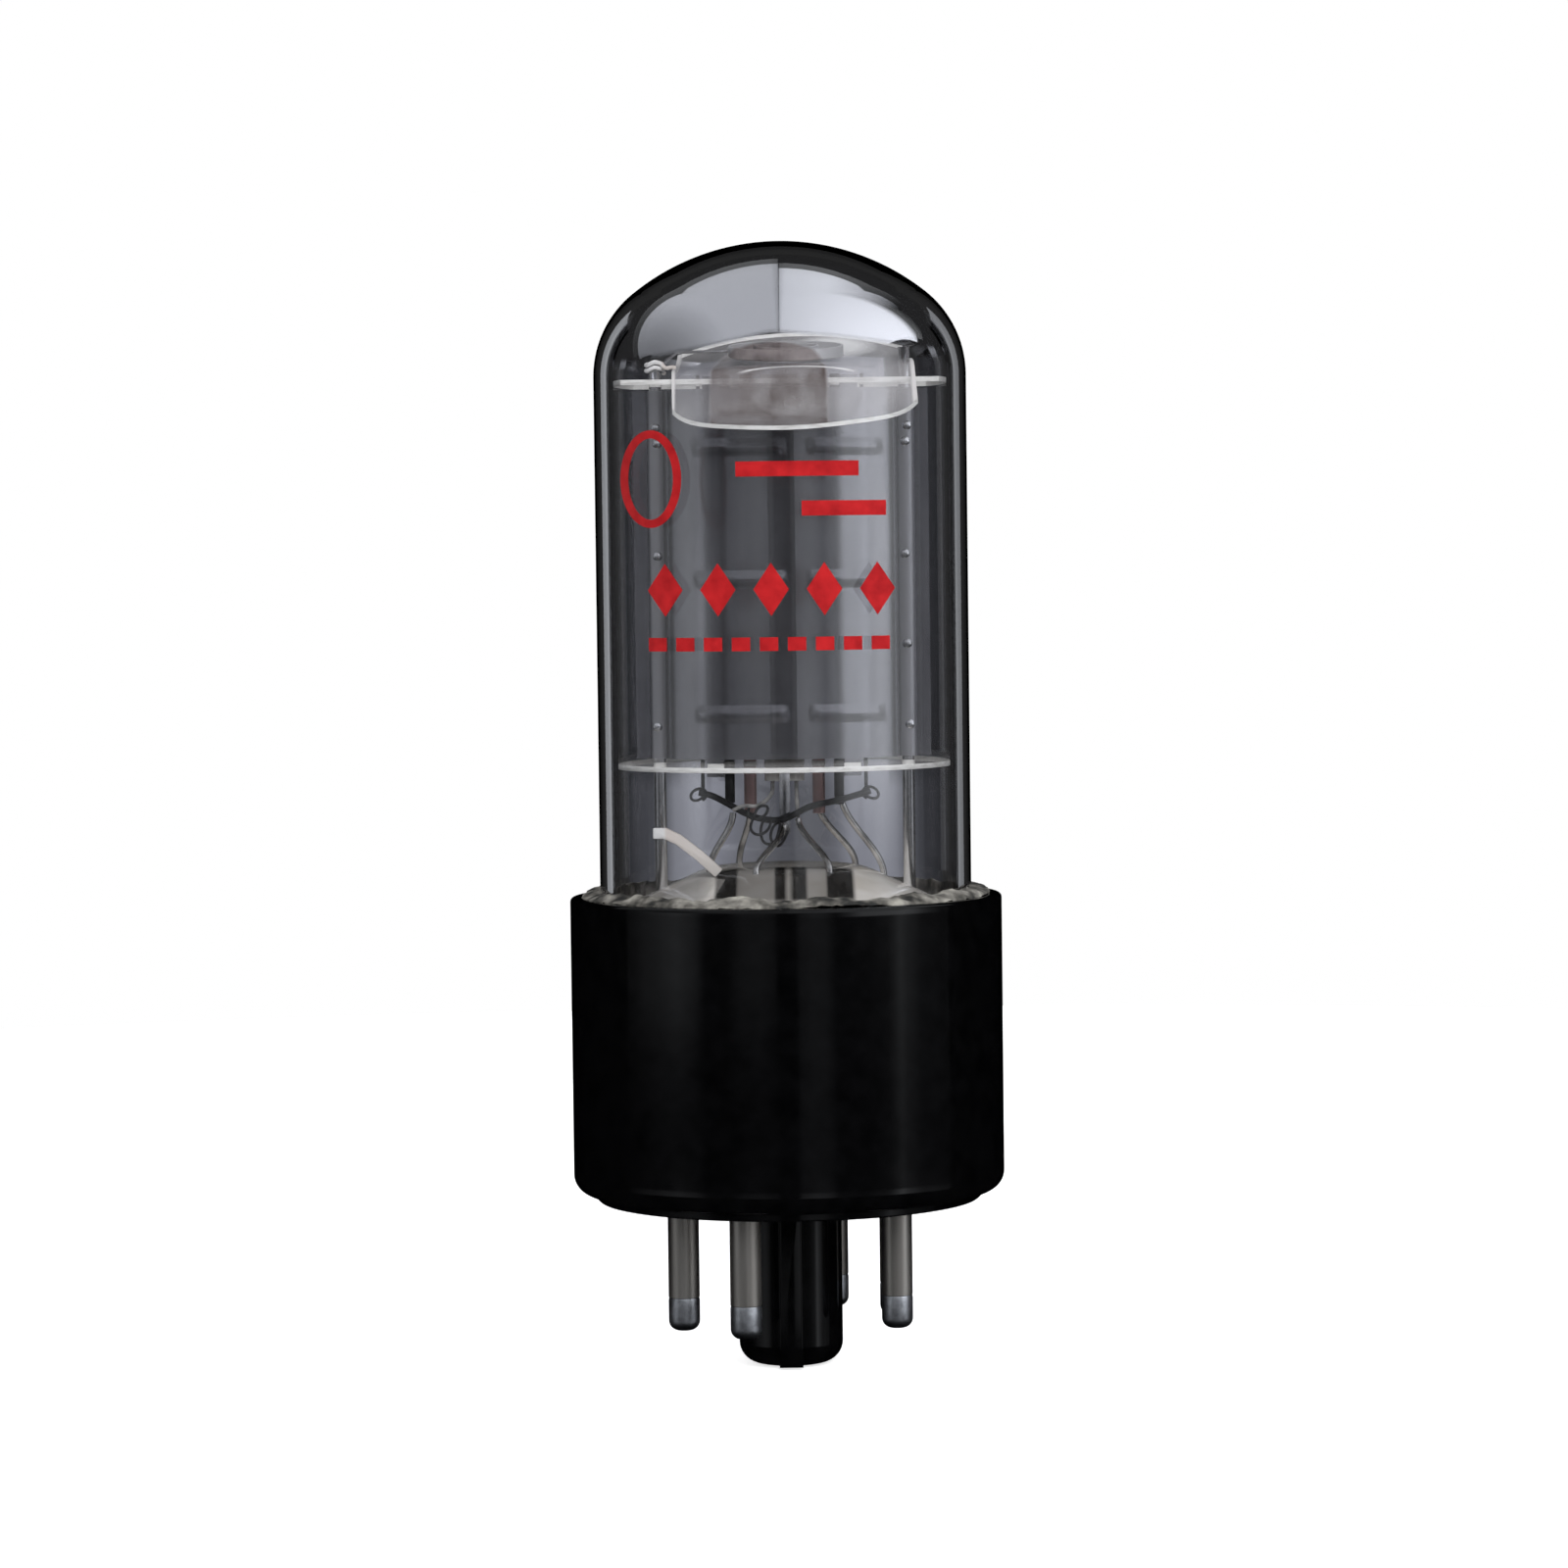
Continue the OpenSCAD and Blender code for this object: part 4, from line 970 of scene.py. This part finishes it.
def flat_shape(kind, x, z, w, h):
    """A ring, lozenge or bar drawn flat in front of the bulb, w by h millimetres."""
    corners = {"ring": 48, "lozenge": 4}
    ring_line_w, in_front = 0.6, -20
    put_down()
    if kind in corners:
        bpy.ops.mesh.primitive_circle_add(vertices=corners[kind], radius=MM / 2, fill_type="NGON",
                                          location=(0, 0, 0))
    else:
        bpy.ops.mesh.primitive_plane_add(size=MM, location=(0, 0, 0))
    ob = bpy.context.object
    edit_all()
    bpy.ops.transform.resize(value=(w, h, 1), center_override=(0, 0, 0))
    if kind == "ring":
        bpy.ops.mesh.inset(thickness=ring_line_w * MM)
        bpy.ops.mesh.delete(type="FACE")
    else:
        bpy.ops.mesh.subdivide(number_cuts=max(3, int(w / 0.5)))
    bpy.ops.mesh.select_all(action="SELECT")
    bpy.ops.transform.rotate(value=math.radians(-90), orient_axis="X", center_override=(0, 0, 0))
    bpy.ops.transform.translate(value=(x * MM, in_front * MM, z * MM))
    leave_edit()
    return ob


def red_print(glass):
    """Draws the shapes flat, lays them on the bulb from the front and makes them a thin coat."""
    shapes = [flat_shape("ring", -9.6, 54.6, 4.6, 7.2), flat_shape("bar", 1.2, 55.2, 9.0, 1.1),
              flat_shape("bar", 4.6, 52.3, 6.2, 1.1)]
    shapes += [flat_shape("lozenge", -8.6 + 3.9 * i, 46.4, 2.6, 3.9) for i in range(5)]
    shapes += [flat_shape("bar", -9.2 + 2.05 * i, 42.4, 1.35, 1.0) for i in range(9)]
    ink = join("red_shapes", shapes)
    finish_with(ink, "SHRINKWRAP", target=glass, wrap_method="PROJECT", wrap_mode="ABOVE_SURFACE",
                use_project_y=True, use_positive_direction=True, offset=0.015 * MM)
    finish_with(ink, "SOLIDIFY", thickness=0.02 * MM, offset=0.0)
    ink.data.materials.clear()
    ink.data.materials.append(red_ink)
    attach(ink, "root")


bulb_piece = bulb()
film_piece = silver_film()
base()
cement_bead()
pins()
stem()
leads()
heater()
strap()
loose_knot()
mica("bottom_mica", "low_mica_disc")
mica("top_mica", "top_mica_plate")
shield()
shield_eyelet()
anodes()
welds()
small_metal()
getter_cup()
red_print(bulb_piece)

bulb_piece.visible_shadow = False
film_piece.visible_shadow = False


# Floor, light cards and the camera. The cards stand at one distance round the tube's middle.

CARD_R, CARD_Z = 500, 45


def emission(name, colour, strength, *shares, seen="all"):
    """A plain light, dimmed by shares of 0 to 1.

    seen is all, straight (never in a reflection) or reflected (never straight through the glass).
    """
    m = bpy.data.materials.new(name)
    m.use_nodes = True
    tree = m.node_tree
    tree.nodes.clear()
    out = tree.nodes.new("ShaderNodeOutputMaterial")
    light = tree.nodes.new("ShaderNodeEmission")
    light.inputs["Color"].default_value = (*colour, 1)
    light.inputs["Strength"].default_value = strength
    tree.links.new(light.outputs["Emission"], out.inputs["Surface"])
    shares = [share(m) for share in shares]
    if seen != "all":
        path = tree.nodes.new("ShaderNodeLightPath")
        unturned = range_by(m, path.outputs["Glossy Depth"], 1.0, 0.0, None, 0.4, 0.6)
        passed = range_by(m, path.outputs["Transmission Depth"], 0.0, 1.0, None, 2.4, 2.6)
        straight = product(m, unturned, passed)
        shares.append(range_by(m, straight, 1.0, 0.0, None, 0.4, 0.6) if seen == "reflected" else unturned)
    if shares:
        scale = range_by(m, product(m, *shares), 0.0, strength, None, 0.0, 1.0)
        tree.links.new(scale, light.inputs["Strength"])
    return m


def run_along(axis, marks):
    """A share that follows marks of place in millimetres and value."""
    low, high = marks[0][0], marks[-1][0]
    stops = [((place - low) / (high - low), grey(value)) for place, value in marks]
    return lambda m: ramp(m, along(m, axis, low, high), stops)


def side_run(side, top, turns):
    """A share along X for a card on one side, from marks of azimuth in degrees and strength."""
    marks = sorted((CARD_R * side * math.sin(math.radians(a)), value / top) for a, value in turns)
    return run_along("X", marks)


def blended(share, first, second):
    """A share that goes over from the first to the second."""
    return lambda m: mixed(m, share(m), first(m), second(m))


def card(name, line, turn, axis, centre, material):
    """A light card: its first line, spun round an axis."""
    ob = first_point(name)
    draw_line(line)
    bpy.ops.mesh.select_all(action="SELECT")
    bpy.ops.mesh.spin(steps=32, angle=math.radians(turn), center=Vector(centre) * MM, axis=axis)
    leave_edit()
    ob.data.materials.append(material)
    ob.visible_camera = False
    ob.visible_shadow = False
    return ob


def upright(name, first, last, low, high, material):
    """A card that stands round the tube. Angles go from the front to the right."""
    a = math.radians(first)
    line = [(CARD_R * math.sin(a), -CARD_R * math.cos(a), low + (high - low) * i / 6) for i in range(7)]
    return card(name, line, last - first, (0, 0, -1), (0, 0, 0), material)


def overhead(name, first, last, left, right, material):
    """A card over the tube. Its turn goes from the front up and over to the back."""
    a = math.radians(first)
    line = []
    for i in range(25):
        b = math.radians(left + (right - left) * i / 24)
        line.append((CARD_R * math.sin(b), -CARD_R * math.cos(b) * math.cos(a),
                     CARD_Z + CARD_R * math.cos(b) * math.sin(a)))
    return card(name, line, last - first, (1, 0, 0), (0, 0, CARD_Z), material)


COOL = (0.93, 0.96, 1.0)
LEFT_RUN = [(90, 0.12), (80, 0.36), (69, 0.62), (59, 0.95), (50, 0.60), (43, 0.06), (31, 0.04), (24, 0.28),
            (14, 0.38), (6, 0.22), (4, 0.0)]
RIGHT_HIGH_RUN = [(5, 0.0), (7, 0.25), (14, 0.46), (20, 0.40), (26, 0.10), (33, 0.6), (40, 1.6), (50, 1.7),
                  (57, 1.9), (63, 2.2), (69, 1.75), (76, 0.8), (84, 0.3), (90, 0.1)]
RIGHT_LOW_RUN = [(5, 0.0), (7, 0.22), (14, 0.33), (20, 0.30), (26, 0.05), (33, 0.04), (44, 0.06),
                 (54, 0.15), (58, 0.40), (61.5, 0.80), (65, 0.50), (69, 0.36), (74, 0.16), (84, 0.13),
                 (90, 0.08)]
CARD_LOW, CARD_HIGH = -130, 280
# The value in each run that stands for its light's full strength
LEFT_TOP, RIGHT_LOW_TOP, RIGHT_HIGH_TOP = 0.95, 1.05, 2.2

upright("left_light", -92, -3, CARD_LOW, CARD_HIGH,
        emission("left_light", COOL, LEFT_TOP, side_run(-1, LEFT_TOP, LEFT_RUN),
                 run_along("Z", [(CARD_LOW, 0.6), (-68, 0.6), (-62, 0.02), (-50, 0.06), (-36, 0.14),
                                 (-23, 0.85), (-8, 0.72), (70, 1.0)]),
                 seen="reflected"))
upright("right_light", 4, 94, CARD_LOW, CARD_HIGH,
        emission("right_light", COOL, RIGHT_HIGH_TOP,
                 blended(run_along("Z", [(-6, 0.0), (13, 1.0)]), side_run(1, RIGHT_LOW_TOP, RIGHT_LOW_RUN),
                         side_run(1, RIGHT_HIGH_TOP, RIGHT_HIGH_RUN)),
                 run_along("Z", [(CARD_LOW, 0.9), (-68, 0.9), (-62, 0.10), (-43, 0.28), (-25, 0.45),
                                 (-6, 0.50), (13, 1.0), (CARD_HIGH, 1.0)]),
                 seen="reflected"))
overhead("top_left", 10, 129, -72, -0.1,
         emission("top_left", COOL, 0.60, run_along("X", [(-476, 0.35), (-240, 1.0), (-16, 1.0), (-1, 0.70)]),
                  seen="reflected"))
overhead("top_right", 10, 124, 0.1, 62,
         emission("top_right", COOL, 1.4, run_along("X", [(1, 0.42), (14, 0.60), (450, 1.0)]),
                  blended(run_along("X", [(110, 0.0), (300, 1.0)]),
                          run_along("Y", [(-CARD_R, 1.0), (CARD_R, 1.0)]),
                          run_along("Y", [(120, 1.0), (165, 0.0)])),
                  seen="reflected"))


def seen_through_only(ob):
    """Keeps a light from falling on the pieces and from showing in their shine."""
    ob.visible_diffuse = False
    ob.visible_glossy = False


PANEL_COLOUR = (0.85, 0.88, 1.0)
PANEL_LOW = -70
BACK_LOW_RUN = [(-110, 0.15), (-74, 0.27), (-52, 0.32), (-44, 0.85), (-24, 1.0), (-13, 0.66), (-5, 0.40),
                (10, 0.38), (16, 0.60), (22, 1.0), (38, 1.0), (44, 0.95), (54, 0.38), (74, 0.18), (110, 0.12)]
BACK_HIGH_RUN = [(-110, 0.093), (-40.5, 0.093), (-40, 0.55), (8, 0.62), (22, 1.0), (40, 1.0), (40.5, 0.093),
                 (110, 0.093)]
back_light = emission("back_panel", PANEL_COLOUR, 0.30,
                      blended(run_along("Z", [(8, 0.0), (14, 1.0)]), run_along("X", BACK_LOW_RUN),
                              run_along("X", BACK_HIGH_RUN)), seen="straight")
seen_through_only(upright("back_panel_0", 167.3, 192.7, PANEL_LOW, CARD_HIGH, back_light))
for turn in range(45, 360, 45):
    panel = emission("back_panel", PANEL_COLOUR, 0.17, seen="straight")
    seen_through_only(upright(f"back_panel_{turn}", turn + 175.4, turn + 184.6, PANEL_LOW, CARD_HIGH, panel))
for side, strength in ((-1, 0.42), (1, 0.30)):
    middle, half = side * 146.5, 5.5
    seen_through_only(upright("wall_line", middle - half, middle + half, PANEL_LOW, CARD_HIGH,
                              emission("wall_line", COOL, strength)))

fill_data = bpy.data.lights.new("front_fill", "AREA")
fill_data.size = 0.3
fill_data.energy = 3.0
fill = bpy.data.objects.new("front_fill", fill_data)
bpy.context.scene.collection.objects.link(fill)
fill.location = (0.05, -0.52, 0.34)
fill.rotation_euler = (math.radians(60), 0, math.radians(5.5))
fill.visible_glossy = False
fill.visible_transmission = False

put_down()
bpy.ops.mesh.primitive_circle_add(vertices=96, radius=0.3, fill_type="NGON", location=(0, 0, FLOOR_Z * MM))
floor = bpy.context.object
floor.name = "floor"
floor_paint = new_material("floor_paint", (0.86, 0.86, 0.86), 0.8)
mottle(floor_paint, grey(0.85), grey(0.88), 8, detail=2.0)
shader_of(floor_paint).inputs["Emission Color"].default_value = (1, 1, 1, 1)
shader_of(floor_paint).inputs["Emission Strength"].default_value = 0.75
floor.data.materials.append(floor_paint)
floor.visible_glossy = False
floor.visible_transmission = False

put_down()
bpy.ops.mesh.primitive_uv_sphere_add(segments=48, ring_count=24, radius=1.4, location=(0, 0, CARD_Z * MM))
surround = bpy.context.object
surround.name = "dim_surround"
surround.data.materials.append(emission("dim_surround", (1, 1, 1), 0.028))
surround.visible_camera = False
surround.visible_shadow = False
seen_through_only(surround)

world = bpy.data.worlds.new("studio")
bpy.context.scene.world = world
world.use_nodes = True
world.node_tree.nodes["Background"].inputs["Color"].default_value = (1, 1, 1, 1)
world.node_tree.nodes["Background"].inputs["Strength"].default_value = 1.0
world.cycles_visibility.glossy = False
world.cycles_visibility.transmission = False

# The photo's view: nearly level, from straight in front
CAMERA_AT = (0.17, -377, 48.7)
CAMERA_DOWN, CAMERA_ROLL = 2.61, 0.7
camera_data = bpy.data.cameras.new("photo_camera")
camera_data.lens = 114.0
camera_data.sensor_width = 36.0
camera_data.clip_start = 0.01
camera_data.clip_end = 10.0
camera = bpy.data.objects.new("photo_camera", camera_data)
bpy.context.scene.collection.objects.link(camera)
camera.location = Vector(CAMERA_AT) * MM
camera.rotation_euler = (math.radians(90 - CAMERA_DOWN), math.radians(CAMERA_ROLL), 0)
bpy.context.scene.camera = camera
bpy.context.scene.view_settings.view_transform = "Standard"
